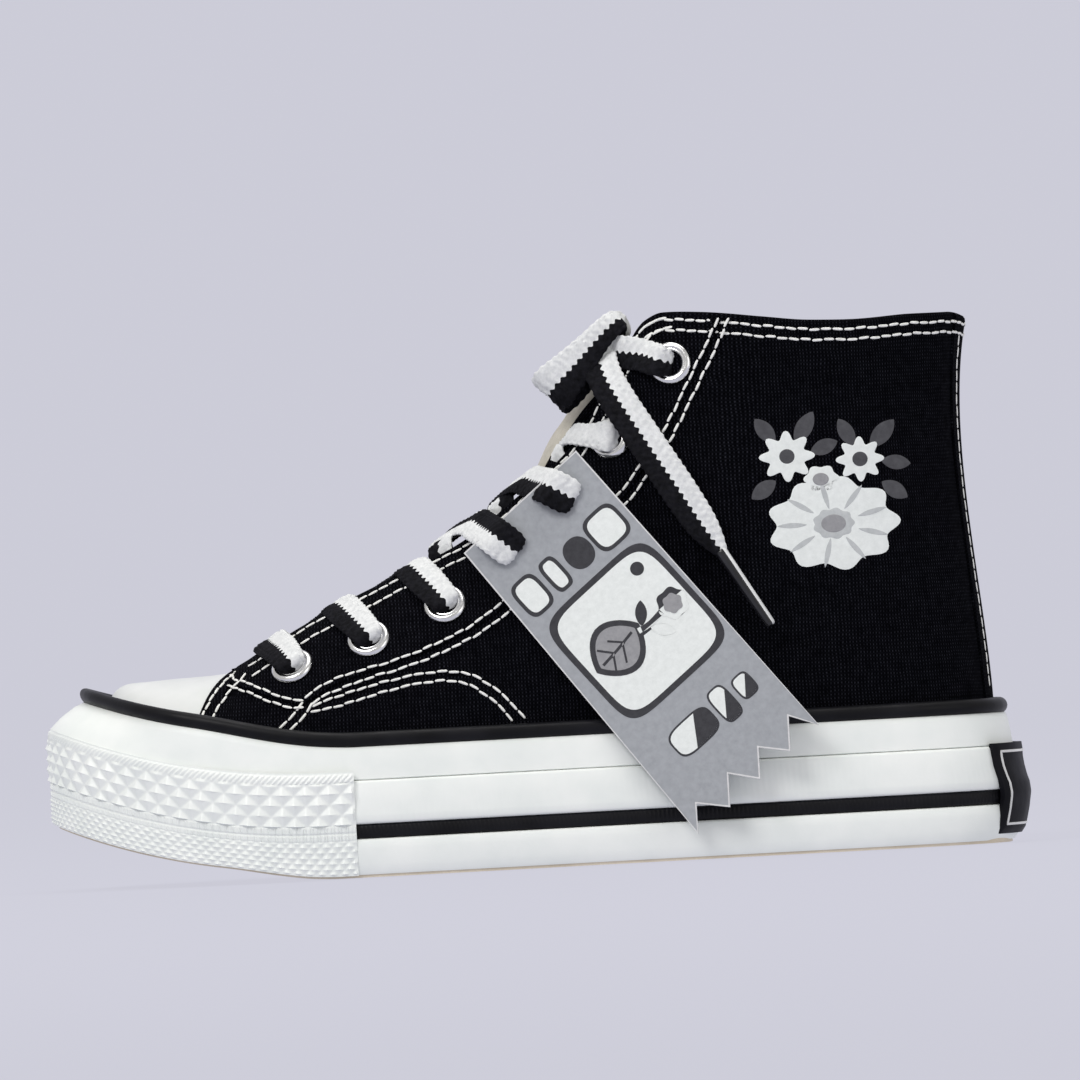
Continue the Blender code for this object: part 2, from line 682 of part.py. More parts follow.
def add_bow():
    bpy.ops.mesh.primitive_uv_sphere_add(segments=10, ring_count=6, radius=1.0)
    made = bpy.context.object
    mesh = made.data
    bpy.data.objects.remove(made)
    mesh.transform(Matrix.Diagonal((*[r * MM for r in KNOT_RADII], 1)))
    knot = add_object("lace_knot", mesh, "lace_cotton")
    knot.location = Vector(KNOT) * MM
    for side, word in ((-1, "lateral"), (1, "medial")):
        flip = np.array([1, side, 1])
        loop = [np.array(p) * flip for p in LOOP_PATH]
        add_ribbon("lace_loop_" + word, loop, [LOOP_ACROSS] * len(loop), 14)
        end = [np.array(p) * flip for p in FREE_END_PATH]
        add_ribbon("lace_end_" + word, end, [FREE_END_ACROSS] * len(end), 8)
        add_aglet("aglet_" + word, end[-1], np.array(AGLET_END) * flip)


def add_aglet(name, start, end):
    direction = (end - start) / np.linalg.norm(end - start)
    start = start + direction * GAP * 2
    length = np.linalg.norm(end - start)
    shape = bmesh.new()
    bmesh.ops.create_cone(
        shape, cap_ends=True, segments=8, radius1=AGLET_RADIUS * MM, radius2=AGLET_RADIUS * MM,
        depth=length * MM,
    )
    mesh = bpy.data.meshes.new(name)
    shape.to_mesh(mesh)
    shape.free()
    obj = add_object(name, mesh, "aglet_plastic")
    turn = Vector(direction).to_track_quat("Z", "Y").to_matrix().to_4x4()
    obj.matrix_world = Matrix.Translation(Vector((start + end) / 2) * MM) @ turn


# Tag


def tag_axes():
    along = Vector(TAG_ALONG).normalized()
    down = Vector(TAG_DOWN)
    down = (down - along * down.dot(along)).normalized()
    return along, down, down.cross(along)


def circle_points(centre, radius, count):
    turns = [math.tau * k / count for k in range(count)]
    return [(centre[0] + radius * math.cos(a), centre[1] + radius * math.sin(a)) for a in turns]


def tag_outline(along, down):
    """Outline in tag coordinates, millimetres: straight top and sides, saw-tooth end."""
    half = TAG_WIDTH / 2
    corners = [(half, TAG_TOP), (-half, TAG_TOP)]
    hinge_x, _, hinge_z = TAG_HINGE
    det = along.x * down.z - along.z * down.x
    for x, z in TAG_TEETH:
        dx, dz = x - hinge_x, z - hinge_z
        corners.append(((dx * down.z - dz * down.x) / det, -(along.x * dz - along.z * dx) / det))
    return corners


def add_tag():
    along, down, _ = tag_axes()
    flat = bpy.data.curves.new("hang_tag", "CURVE")
    flat.dimensions = "2D"
    flat.fill_mode = "BOTH"
    flat.extrude = TAG_THICKNESS / 2 * MM
    holes = [circle_points((s * TAG_HOLE_HALF_PITCH, 0.0), TAG_HOLE_RADIUS, 10) for s in (-1, 1)]
    for ring in [tag_outline(along, down)] + holes:
        spline = flat.splines.new("POLY")
        spline.points.add(len(ring) - 1)
        for point, (x, y) in zip(spline.points, ring):
            point.co = (x * MM, y * MM, 0.0, 1.0)
        spline.use_cyclic_u = True
    tag = add_object("hang_tag", flat, "card_grey")
    turn = Matrix((along, -down, along.cross(-down))).transposed().to_4x4()
    tag.matrix_world = Matrix.Translation(Vector(TAG_HINGE) * MM) @ turn


def main():
    clear_scene()
    parts = bpy.data.collections.new("cheer_shoe")
    bpy.context.scene.collection.children.link(parts)
    add_sole()
    add_lower_band()
    add_upper()
    add_lacing()
    add_bow()
    add_tag()


main()
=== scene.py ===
"""Looks of a left high-top canvas sneaker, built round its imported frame.

The toe points to -X and the outer (lateral) side faces -Y. Working lengths are in millimetres in the
frame's own axes, and MM turns them into metres. Round the shoe, t counts from the toe tip (0) along the
lateral side to the heel (12) and back along the medial side (24). Up the canvas, b runs from the sole (0)
to the throat or collar edge (1).
"""

import math

import bpy
import numpy as np
from mathutils import Matrix, Vector


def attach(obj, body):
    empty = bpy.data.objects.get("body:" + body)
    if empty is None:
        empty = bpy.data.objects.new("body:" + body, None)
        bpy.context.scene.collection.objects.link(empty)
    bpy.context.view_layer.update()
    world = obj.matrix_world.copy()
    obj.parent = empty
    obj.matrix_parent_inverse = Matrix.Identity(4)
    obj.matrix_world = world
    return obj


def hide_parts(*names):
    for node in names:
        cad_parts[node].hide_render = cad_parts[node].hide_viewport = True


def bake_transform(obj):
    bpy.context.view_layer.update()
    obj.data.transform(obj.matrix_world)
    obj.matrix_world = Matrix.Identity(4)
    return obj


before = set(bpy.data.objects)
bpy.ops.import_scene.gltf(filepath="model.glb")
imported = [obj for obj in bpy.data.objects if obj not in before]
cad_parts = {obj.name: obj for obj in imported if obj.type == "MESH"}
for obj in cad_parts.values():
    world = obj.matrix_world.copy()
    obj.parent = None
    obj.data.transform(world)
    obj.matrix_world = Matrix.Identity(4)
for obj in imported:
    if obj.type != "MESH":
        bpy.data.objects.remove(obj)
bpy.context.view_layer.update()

MM = 0.001
TURN = 24
SIDES = ((-1, "lateral"), (1, "medial"))

# The same surface as the frame's own parts
HALF_LENGTH = 138.7
LATERAL_Y = [6, -14, -30.5, -42.5, -48.5, -48.3, -45, -40.3, -38.3, -36.6, -30.5, -18, 0]
MEDIAL_Y = [6, 24, 37.5, 46.2, 49.1, 45.7, 39, 35.5, 35, 35.3, 30, 17.5, 0]
SPRING_START_X = -62.0
SPRING_RATE = 0.0027
TOE_LIFT = 2.6
TOE_LIFT_START = -57.0
TOE_LIFT_RUN = 34.0
TOE_LIFT_TOP = 12.0
TOE_LEAN = 7.5
TOE_LEAN_START = -100.0
TOE_LEAN_RUN = 38.0
TOE_RISE = 4.5
TOE_RISE_START = -50.0
TOE_RISE_RUN = 50.0
TOE_BEND = 4.5
TOE_BEND_START = -80.0
TOE_BEND_RUN = 33.0
CANVAS_INSET = 7.5
CANVAS_FOOT = 28.7
TOP_LINE = [
    (0, -113, 0, 58.4), (1, -110.5, 0, 58.5), (2, -103, 0, 58.9), (3, -91, 0, 59.4), (3.3, -84.5, 0, 60.2),
    (3.38, -83.6, 5.2, 60.8), (3.5, -81, 7.4, 62.2), (3.7, -76, 8.6, 65.3), (4, -68, 9.4, 70),
    (4.5, -53, 10, 77.8), (5, -37, 10.6, 85), (5.5, -19, 11.2, 93.2), (6, -2, 12, 105.5), (6.5, 16, 13, 121),
    (7, 33, 14.5, 148.5), (7.15, 37.5, 16, 154.5), (7.3, 43, 18, 156.7), (7.6, 54, 23.5, 156),
    (8, 70, 28, 153.8), (8.5, 84, 29.3, 152), (9, 97, 28.6, 151.5), (10, 114, 22.8, 152.2),
    (11, 125.3, 12.3, 152.2), (12, 129.2, 0, 151.2),
]
RIDGE_END = 3.3
HANDLES = [
    (0.5, 0, 16, -7, 0, 0), (0.5, 0, 16, -5, 8, 0), (0, 1, 17, -3, 14, 0), (0, 1, 18, 0, 20, -0.3),
    (0, 0, 20, 0, 25.4, -3.5), (0, 0.5, 28, 0, 25.6, -7), (0, 0, 38, 0, 25, -14),
    (0, -0.5, 42, 0, 26.5, -26), (0, -1.5, 42, 0, 25, -40), (0, 0, 40, 0, 23.6, -40),
    (0.5, 1, 36, -3, 17.8, -38), (1.5, 1, 36, -7, 9.3, -38), (1.5, 0, 36, -9, 0, -38),
]
EYELETS = [(-68.1, 61.7), (-46.2, 67.6), (-24, 76.8), (-4, 91.5), (13, 105.5), (26.8, 121), (44.5, 141.6)]
CAP_SEAM = (2.9, 3.28)


def smooth(x):
    """Rises from 0 to 1 as x does, level at both ends."""
    x = np.clip(x, 0.0, 1.0)
    return x * x * (3.0 - 2.0 * x)


def spline_bends(values):
    """Second derivatives of the closed cubic spline through equally spaced values."""
    unit = np.eye(len(values))
    system = 4.0 * unit + np.roll(unit, 1, axis=1) + np.roll(unit, -1, axis=1)
    return np.linalg.solve(system, 6.0 * (np.roll(values, -1) - 2.0 * values + np.roll(values, 1)))


def closed_spline(values, bends, t):
    """The closed cubic spline at t, counted in values."""
    start = np.floor(t).astype(int)
    far = t - start
    near = 1.0 - far
    a = start % len(values)
    b = (start + 1) % len(values)
    line = near * values[a] + far * values[b]
    return line + ((near**3 - near) * bends[a] + (far**3 - far) * bends[b]) / 6.0


def mirrored(values):
    """The 13 lateral values, then the same ones back along the medial side."""
    values = np.array(values, float)
    return np.concatenate([values, values[11:0:-1]])


OUTLINE_Y = np.array(LATERAL_Y + MEDIAL_Y[11:0:-1], float)
OUTLINE_BENDS = spline_bends(OUTLINE_Y)
HANDLE_VALUES = [mirrored(column) for column in zip(*HANDLES)]
HANDLE_BENDS = [spline_bends(values) for values in HANDLE_VALUES]


def outline(t):
    """Plan position of the bands' outer face."""
    x = -HALF_LENGTH * np.cos(t * math.pi / 12)
    return np.stack([x, closed_spline(OUTLINE_Y, OUTLINE_BENDS, t)], axis=-1)


def underside(x):
    """Height of the sole's curved underside: flat, then rising towards the toe."""
    return SPRING_RATE * np.maximum(0.0, SPRING_START_X - x) ** 2


def toe_lean(t):
    """How far the top of the sole leans in at the toe."""
    return TOE_LEAN * smooth((TOE_LEAN_START - outline(t)[..., 0]) / TOE_LEAN_RUN)


def toe_rise(t):
    """How far the top of the sole rises at the toe."""
    return TOE_RISE * smooth((TOE_RISE_START - outline(t)[..., 0]) / TOE_RISE_RUN)


def rim(t, inset, height):
    """Point at a distance in from the outline and a height above the underside."""
    step = 0.01
    here = outline(t)
    along = outline(t + step) - outline(t - step)
    along /= np.linalg.norm(along, axis=-1, keepdims=True)
    outward = np.stack([along[..., 1], -along[..., 0]], axis=-1)
    plan = here - outward * np.asarray(inset)[..., None]
    foot = TOE_LIFT * smooth((TOE_LIFT_START - plan[..., 0]) / TOE_LIFT_RUN)
    rise = height + foot * np.clip(1.0 - np.asarray(height) / TOE_LIFT_TOP, 0.0, 1.0)
    return np.concatenate([plan, (underside(plan[..., 0]) + rise)[..., None]], axis=-1)


def through(points, t):
    """Smooth curve through rows of (t, values...) without overshoot."""
    table = np.array(points, float)
    knots = table[:, 0]
    rows = table[:, 1:]
    rates = np.diff(rows, axis=0) / np.diff(knots)[:, None]
    before, after = rates[:-1], rates[1:]
    product = before * after
    total = np.where(np.abs(before + after) > 1e-9, before + after, 1.0)
    inner = np.where(product > 0, 2.0 * product / total, 0.0)
    slopes = np.concatenate([rates[:1], inner, rates[-1:]])
    i = np.clip(np.searchsorted(knots, t, side="right") - 1, 0, len(knots) - 2)
    width = (knots[i + 1] - knots[i])[..., None]
    f = (t - knots[i])[..., None] / width
    start = rows[i] * (1 + 2 * f) * (1 - f) ** 2 + rows[i + 1] * f * f * (3 - 2 * f)
    return start + width * (slopes[i] * f * (1 - f) ** 2 - slopes[i + 1] * f * f * (1 - f))


def with_mirrored_ends(points):
    """The top line with one mirrored point past the toe and one past the heel, for its end slopes."""
    first = points[1]
    last = points[-2]
    before = (-first[0], first[1], -first[2], first[3])
    after = (TURN - last[0], last[1], -last[2], last[3])
    return [before] + points + [after]


TOP_KNOTS = with_mirrored_ends(TOP_LINE)


def side_sign(t):
    """-1 on the lateral side and 1 on the medial side."""
    return np.where(np.mod(t, TURN) <= TURN / 2, -1.0, 1.0)


def from_toe(t):
    """t folded on to the lateral side."""
    t = np.mod(t, TURN)
    return np.minimum(t, TURN - t)


def middle_y(x):
    """The shoe's middle: straight, then bending to the medial side at the toe."""
    return TOE_BEND * smooth((TOE_BEND_START - x) / TOE_BEND_RUN)


def top_line(t):
    """Point of the toe's ridge, the throat edge or the collar."""
    x, half, z = np.moveaxis(through(TOP_KNOTS, from_toe(t)), -1, 0)
    return np.stack([x, middle_y(x) + side_sign(t) * half, z], axis=-1)


def canvas_poles(t):
    """The four control points of the canvas's up-curve at t."""
    sign = side_sign(t)
    fx, fin, fz, tx, tout, tz = [closed_spline(v, k, t) for v, k in zip(HANDLE_VALUES, HANDLE_BENDS)]
    foot = rim(t, CANVAS_INSET + toe_lean(t), CANVAS_FOOT)
    top = top_line(t)
    out_y = middle_y(top[..., 0]) + sign * tout
    under_top = np.stack([top[..., 0] + tx, out_y, top[..., 2] + tz], -1)
    return foot, foot + np.stack([fx, -sign * fin, fz], -1), under_top, top


def canvas(t, b):
    """Point on the canvas's outer face."""
    t, b = np.broadcast_arrays(np.asarray(t, float), np.asarray(b, float))
    p0, p1, p2, p3 = canvas_poles(t)
    b = b[..., None]
    return p0 * (1 - b) ** 3 + 3 * p1 * b * (1 - b) ** 2 + 3 * p2 * b * b * (1 - b) + p3 * b**3


def canvas_normal(t, b):
    """Outward direction of the canvas. Along the toe's ridge both sides share one."""
    step = 0.01
    t, b = np.broadcast_arrays(np.asarray(t, float), np.asarray(b, float))
    inner_b = np.clip(b, 0.005, 0.985)
    along = canvas(t + step, inner_b) - canvas(t - step, inner_b)
    up = canvas(t, inner_b + step) - canvas(t, inner_b - step)
    normal = np.cross(along, up)
    normal /= np.linalg.norm(normal, axis=-1, keepdims=True)
    on_ridge = (from_toe(t) <= RIDGE_END + 1e-6) & (b > 0.999)
    return np.where(on_ridge[..., None], np.array([-0.03, 0.0, 1.0]), normal)


def layer(t, b, offset):
    """Point at a distance out from the canvas's outer face. offset is one number, or one for each point."""
    return canvas(t, b) + canvas_normal(t, b) * np.asarray(offset, float)[..., None]


def on_side(t, side):
    """A lateral t, or its mirror on the medial side."""
    return t if side < 0 else TURN - t


def canvas_spot(t, b, out):
    """One point at a distance out from the canvas, and the outward direction there."""
    t, b = np.array([t]), np.array([b])
    return layer(t, b, out)[0], canvas_normal(t, b)[0]


def edge_spot(t):
    """One point of the throat's edge or the collar."""
    return top_line(np.array([t]))[0]


def locate(points):
    """(t, b) of lateral canvas points given by their side view (x, z)."""
    target = np.array(points, float)
    t = 12.0 * np.arccos(np.clip(-target[:, 0] / HALF_LENGTH, -1, 1)) / math.pi
    b = np.full(len(target), 0.6)
    step = 1e-4
    for _ in range(40):
        here = canvas(t, b)[:, [0, 2]]
        by_t = (canvas(t + step, b)[:, [0, 2]] - here) / step
        by_b = (canvas(t, b + step)[:, [0, 2]] - here) / step
        miss = target - here
        det = by_t[:, 0] * by_b[:, 1] - by_t[:, 1] * by_b[:, 0]
        t = t + 0.6 * (miss[:, 0] * by_b[:, 1] - miss[:, 1] * by_b[:, 0]) / det
        b = b + 0.6 * (by_t[:, 0] * miss[:, 1] - by_t[:, 1] * miss[:, 0]) / det
        t = np.clip(t, 0.05, 11.95)
        b = np.clip(b, 0.0, 1.0)
    return np.stack([t, b], axis=-1)


def resample(points, u):
    """Position at u (0 to 1) along a smooth curve through points, evenly by count."""
    table = [(k / (len(points) - 1), *p) for k, p in enumerate(points)]
    return through(table, np.asarray(u, float))


def unit(v):
    """The same direction, 1 long."""
    return v / np.linalg.norm(v, axis=-1, keepdims=True)


def signed_power(x, power):
    """x to a power, with its sign kept."""
    return np.sign(x) * np.abs(x) ** power


def travelled(points):
    """The distance gone at each point of a line."""
    return np.concatenate([[0.0], np.cumsum(np.linalg.norm(np.diff(points, axis=0), axis=1))])


def at_distances(want, gone, rows):
    """Each column of the rows at the wanted distances."""
    return np.stack([np.interp(want, gone, column) for column in rows.T], axis=1)


def evenly(points, step):
    """A rounded curve through rows that start with a place: its rows a step apart, and their distances."""
    fine = catmull(points, 24)
    gone = travelled(fine[:, :3])
    want = np.linspace(0.0, gone[-1], max(3, int(round(gone[-1] / step)) + 1))
    return at_distances(want, gone, fine), want


def catmull(points, steps):
    """A rounded curve through points, with steps samples between two of them."""
    p = np.array(points, float)
    p = np.concatenate([[2 * p[0] - p[1]], p, [2 * p[-1] - p[-2]]])
    f = np.linspace(0.0, 1.0, steps, endpoint=False)[:, None]
    rows = []
    for a, b, c, d in zip(p[:-3], p[1:-2], p[2:-1], p[3:]):
        rows.append(
            0.5 * (2 * b + (c - a) * f + (2 * a - 5 * b + 4 * c - d) * f**2 + (3 * b - a - 3 * c + d) * f**3)
        )
    return np.concatenate(rows + [p[-2:-1]])


# Camera, light and floor

FRAME_SPAN = 308.27
FRAME_MIDDLE = (4.44, 93.3)
FRAME_ROLL = math.radians(3.0268)
CAMERA_AWAY = 6000.0
SENSOR = 36.0
SHOE_SIDE_Y = -30.0
# The stage's sizes are in metres
FLOOR_FRONT = -14.0
FLOOR_BACK = 8.0
FLOOR_HALF_WIDTH = 16.0
FLOOR_DROP = 0.0003
BACK_CURVE = 2.0
BACK_TOP = 10.0
BACKDROP = (0.624, 0.624, 0.708)
BACKDROP_GLOW = 0.93
BACKDROP_PAINT = 0.07
SKY_COLOUR = (1.0, 0.985, 0.95, 1.0)
SKY_STRENGTH = 0.55
LIGHT_COLOUR = (1.0, 0.99, 0.965)
LIGHT_TARGET = (0.0, 0.0, 0.06)
# Name, place, width and height, power
SOFT_BOXES = [
    ("key_box", (-0.9, -1.3, 1.5), (0.9, 0.8), 20.0),
    ("top_box", (0.2, 0.1, 1.8), (1.4, 1.0), 12.0),
    ("fill_box", (1.6, -1.4, 0.7), (1.2, 1.2), 5.0),
]


def add_object(name, data):
    """An object in the scene that holds the data."""
    made = bpy.data.objects.new(name, data)
    bpy.context.scene.collection.objects.link(made)
    return made


def add_camera():
    """Level with the shoe's middle, square to its outer side and turned a little about its own axis."""
    data = bpy.data.cameras.new("camera")
    data.sensor_width = SENSOR
    data.lens = SENSOR * (CAMERA_AWAY + SHOE_SIDE_Y) / FRAME_SPAN
    data.clip_start = 0.05
    data.clip_end = 50.0
    camera = add_object("camera", data)
    right = Vector((math.cos(FRAME_ROLL), 0.0, -math.sin(FRAME_ROLL)))
    up = Vector((math.sin(FRAME_ROLL), 0.0, math.cos(FRAME_ROLL)))
    turn = Matrix((right, up, right.cross(up))).transposed().to_4x4()
    place = Vector((FRAME_MIDDLE[0], -CAMERA_AWAY, FRAME_MIDDLE[1])) * MM
    camera.matrix_world = Matrix.Translation(place) @ turn
    bpy.context.scene.camera = camera


def add_light(name, place, size, power):
    """A soft box that faces the shoe."""
    data = bpy.data.lights.new(name, "AREA")
    data.shape = "RECTANGLE"
    data.size, data.size_y = size
    data.energy = power
    data.color = LIGHT_COLOUR
    light = add_object(name, data)
    light.location = place
    light.rotation_euler = (Vector(LIGHT_TARGET) - Vector(place)).to_track_quat("-Z", "Y").to_euler()


def backdrop_paper():
    """Paper that mostly glows by itself, so that it stays even, and takes a faint shadow."""
    made = bpy.data.materials.new("backdrop_paper")
    made.use_nodes = True
    tree = made.node_tree
    tree.nodes.remove(tree.nodes["Principled BSDF"])
    glow = tree.nodes.new("ShaderNodeEmission")
    glow.inputs["Color"].default_value = (*BACKDROP, 1.0)
    glow.inputs["Strength"].default_value = BACKDROP_GLOW
    paint = tree.nodes.new("ShaderNodeBsdfDiffuse")
    paint.inputs["Color"].default_value = (*[BACKDROP_PAINT * c for c in BACKDROP], 1.0)
    both = tree.nodes.new("ShaderNodeAddShader")
    tree.links.new(glow.outputs[0], both.inputs[0])
    tree.links.new(paint.outputs[0], both.inputs[1])
    tree.links.new(both.outputs[0], tree.nodes["Material Output"].inputs["Surface"])
    return made


def add_backdrop():
    """A pale floor that curves up behind the shoe."""
    bends = np.linspace(0.1, math.pi / 2, 14)
    profile = [(FLOOR_FRONT, 0.0), (FLOOR_BACK, 0.0)]
    profile += [(FLOOR_BACK + BACK_CURVE * math.sin(a), BACK_CURVE - BACK_CURVE * math.cos(a)) for a in bends]
    profile += [(FLOOR_BACK + BACK_CURVE, BACK_TOP)]
    points = [(x, y, z - FLOOR_DROP) for y, z in profile for x in (-FLOOR_HALF_WIDTH, FLOOR_HALF_WIDTH)]
    faces = [(2 * k, 2 * k + 1, 2 * k + 3, 2 * k + 2) for k in range(len(profile) - 1)]
    mesh = bpy.data.meshes.new("backdrop")
    mesh.from_pydata(points, [], faces)
    mesh.shade_smooth()
    mesh.materials.append(backdrop_paper())
    add_object("backdrop", mesh)


def add_stage():
    """The backdrop, an even sky and the soft boxes."""
    add_backdrop()
    world = bpy.data.worlds.new("sky")
    world.use_nodes = True
    sky = world.node_tree.nodes["Background"]
    sky.inputs["Color"].default_value = SKY_COLOUR
    sky.inputs["Strength"].default_value = SKY_STRENGTH
    bpy.context.scene.world = world
    bpy.context.scene.view_settings.view_transform = "Standard"
    for box in SOFT_BOXES:
        add_light(*box)


add_camera()


# Making meshes and materials


def arc_table():
    """t and the plan distance from the toe tip at many places round the outline."""
    t = np.linspace(0.0, TURN, 4801)
    return t, travelled(outline(t))


ARC_T, ARC_S = arc_table()
ROUND = ARC_S[-1]
SHARP_ANGLE = math.radians(50)


def distance_round(t):
    """Plan distance in millimetres from the toe tip to t, with whole turns added."""
    turns = np.floor(np.asarray(t, float) / TURN)
    return turns * ROUND + np.interp(np.mod(t, TURN), ARC_T, ARC_S)


def t_at(distance):
    """The inverse of distance_round."""
    turns = np.floor(np.asarray(distance, float) / ROUND)
    return turns * TURN + np.interp(np.mod(distance, ROUND), ARC_S, ARC_T)


def grid_quads(rows, columns, wrap_rows=False, wrap_columns=False, start=0):
    """Faces of a grid of points numbered row by row."""
    i = np.arange(rows if wrap_rows else rows - 1)[:, None]
    j = np.arange(columns if wrap_columns else columns - 1)[None, :]
    ni, nj = (i + 1) % rows, (j + 1) % columns
    quads = np.stack([i * columns + j, ni * columns + j, ni * columns + nj, i * columns + nj], axis=-1)
    return quads.reshape(-1, 4) + start


def add_piece(name, points, faces, body, materials, uv=None, face_slots=None, nodes=()):
    """A mesh from points in millimetres that rides on a body and stands for CAD nodes."""
    mesh = bpy.data.meshes.new(name)
    faces = [tuple(int(k) for k in face) for face in faces]
    mesh.from_pydata((np.asarray(points) * MM).tolist(), [], faces)
    for made in materials if isinstance(materials, (list, tuple)) else [materials]:
        mesh.materials.append(made)
    if uv is not None:
        corner = np.zeros(len(mesh.loops), np.int32)
        mesh.loops.foreach_get("vertex_index", corner)
        mesh.uv_layers.new(name="cloth").data.foreach_set("uv", np.asarray(uv, np.float32)[corner].ravel())
    if face_slots is not None:
        mesh.polygons.foreach_set("material_index", np.asarray(face_slots, np.int32))
    mesh.shade_smooth()
    mesh.set_sharp_from_angle(angle=SHARP_ANGLE)
    mesh.update()
    obj = add_object(name, mesh)
    if body is not None:
        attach(obj, body)
    if nodes:
        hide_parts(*nodes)
    return obj


def add_shell(name, outer, inner, body, slot, materials, uv, wrap=False, nodes=()):
    """A closed sheet between two grids of points, rows by columns. wrap joins the last row to the first."""
    rows, columns = outer.shape[:2]
    count = rows * columns
    top = grid_quads(rows, columns, wrap_rows=wrap)
    bottom = grid_quads(rows, columns, wrap_rows=wrap, start=count)[:, ::-1]
    index = np.arange(count).reshape(rows, columns)
    edges = [(index[:, 0], False), (index[:, -1], True)]
    if not wrap:
        edges += [(index[0], True), (index[-1], False)]
    sides = []
    for line, flip in edges:
        if wrap:
            line = np.append(line, line[0])
        quads = np.stack([line[:-1], line[:-1] + count, line[1:] + count, line[1:]], axis=1)
        sides.append(quads[:, ::-1] if flip else quads)
    points = np.concatenate([outer.reshape(-1, 3), inner.reshape(-1, 3)])
    both = np.concatenate([uv.reshape(-1, 2)] * 2)
    faces = np.concatenate([top, bottom] + sides)
    return add_piece(name, points, faces, body, materials, both, nodes=nodes)


def joined(parts):
    """Points and faces of several (points, faces) in one."""
    points, faces, start = [], [], 0
    for some_points, some_faces in parts:
        points.append(np.asarray(some_points))
        faces += [tuple(int(k) + start for k in face) for face in some_faces]
        start += len(some_points)
    return np.concatenate(points), faces


def feed(tree, place, value):
    """Links a socket to an input, or sets the input's own value."""
    if isinstance(value, bpy.types.NodeSocket):
        tree.links.new(value, place)
    else:
        place.default_value = value


def node(tree, kind, **inputs):
    """A shader node with its inputs set: i0 is the first, set_ goes before a property's name."""
    made = tree.nodes.new("ShaderNode" + kind)
    for key, value in inputs.items():
        if key.startswith("set_"):
            setattr(made, key[4:], value)
            continue
        by_number = key[0] == "i" and key[1:].isdigit()
        feed(tree, made.inputs[int(key[1:]) if by_number else key.replace("_", " ")], value)
    return made


def math_node(tree, operation, a, b=0.0):
    """A sum, product or the like of two sockets or numbers."""
    return node(tree, "Math", set_operation=operation, i0=a, i1=b).outputs[0]


def mixed(tree, share, a, b):
    """A colour between a and b, each a socket or red, green and blue."""
    a, b = [value if isinstance(value, bpy.types.NodeSocket) else (*value, 1.0) for value in (a, b)]
    return node(tree, "Mix", set_data_type="RGBA", i0=share, i6=a, i7=b).outputs[2]


def ramp(tree, value, low, high, to_low=0.0, to_high=1.0):
    """The value carried from low and high to two new ends."""
    ends = {"From_Min": low, "From_Max": high, "To_Min": to_low, "To_Max": to_high}
    return node(tree, "MapRange", Value=value, **ends).outputs[0]


def noise(tree, scale, detail=3.0, roughness=0.55, vector=None):
    """A noise value from places in metres, or from vector."""
    if vector is None:
        vector = node(tree, "TexCoord").outputs["Object"]
    return node(tree, "TexNoise", Vector=vector, Scale=scale, Detail=detail, Roughness=roughness).outputs[0]


def start_material(name, roughness, **inputs):
    """A new material, its node tree and its shader."""
    made = bpy.data.materials.new(name)
    made.use_nodes = True
    tree = made.node_tree
    shader = tree.nodes["Principled BSDF"]
    shader.inputs["Roughness"].default_value = roughness
    for key, value in inputs.items():
        shader.inputs[key.replace("_", " ")].default_value = value
    return made, tree, shader


def bumped(tree, shader, height, distance, strength=1.0):
    """height is 0 to 1, and distance its depth in millimetres."""
    made = node(tree, "Bump", Height=height, Strength=strength, Distance=distance * MM)
    tree.links.new(made.outputs[0], shader.inputs["Normal"])


def rubber(name, low, high, roughness, grain=0.05, scale=900.0, dirt=None, gleam=0.5):
    """Moulded rubber: a faint mottle, a fine grain and, if dirt is given, that colour in patches."""
    made, tree, shader = start_material(name, roughness, Specular_IOR_Level=gleam)
    mottle = ramp(tree, noise(tree, 60.0), 0.35, 0.65)
    colour = mixed(tree, mottle, low, high)
    if dirt:
        patches = ramp(tree, noise(tree, 23.0, 6.0, 0.7), 0.58, 0.86, 0.0, 0.35)
        colour = mixed(tree, patches, colour, dirt)
    tree.links.new(colour, shader.inputs["Base Color"])
    gloss = ramp(tree, noise(tree, 140.0), 0.3, 0.7, roughness - 0.06, roughness + 0.08)
    tree.links.new(gloss, shader.inputs["Roughness"])
    bumped(tree, shader, noise(tree, scale, 2.0), grain, 0.6)
    return made


def weave_height(tree, pitch_u, pitch_v, ribs):
    """A plain weave, 0 to 1, from the cloth coordinates in millimetres. ribs adds standing threads."""
    place = node(tree, "SeparateXYZ", Vector=node(tree, "TexCoord").outputs["UV"])
    wobble = math_node(tree, "MULTIPLY", noise(tree, 180.0, 2.0), 1.1)
    u = math_node(tree, "ADD", place.outputs[0], wobble)
    v = math_node(tree, "ADD", place.outputs[1], wobble)
    wave_u = math_node(tree, "SINE", math_node(tree, "MULTIPLY", u, math.tau / pitch_u))
    wave_v = math_node(tree, "SINE", math_node(tree, "MULTIPLY", v, math.tau / pitch_v))
    crossing = math_node(tree, "MULTIPLY", wave_u, wave_v)
    standing = math_node(tree, "MULTIPLY", wave_u, ribs)
    total = math_node(tree, "ADD", crossing, standing)
    return ramp(tree, total, -1.0 - ribs, 1.0 + ribs)


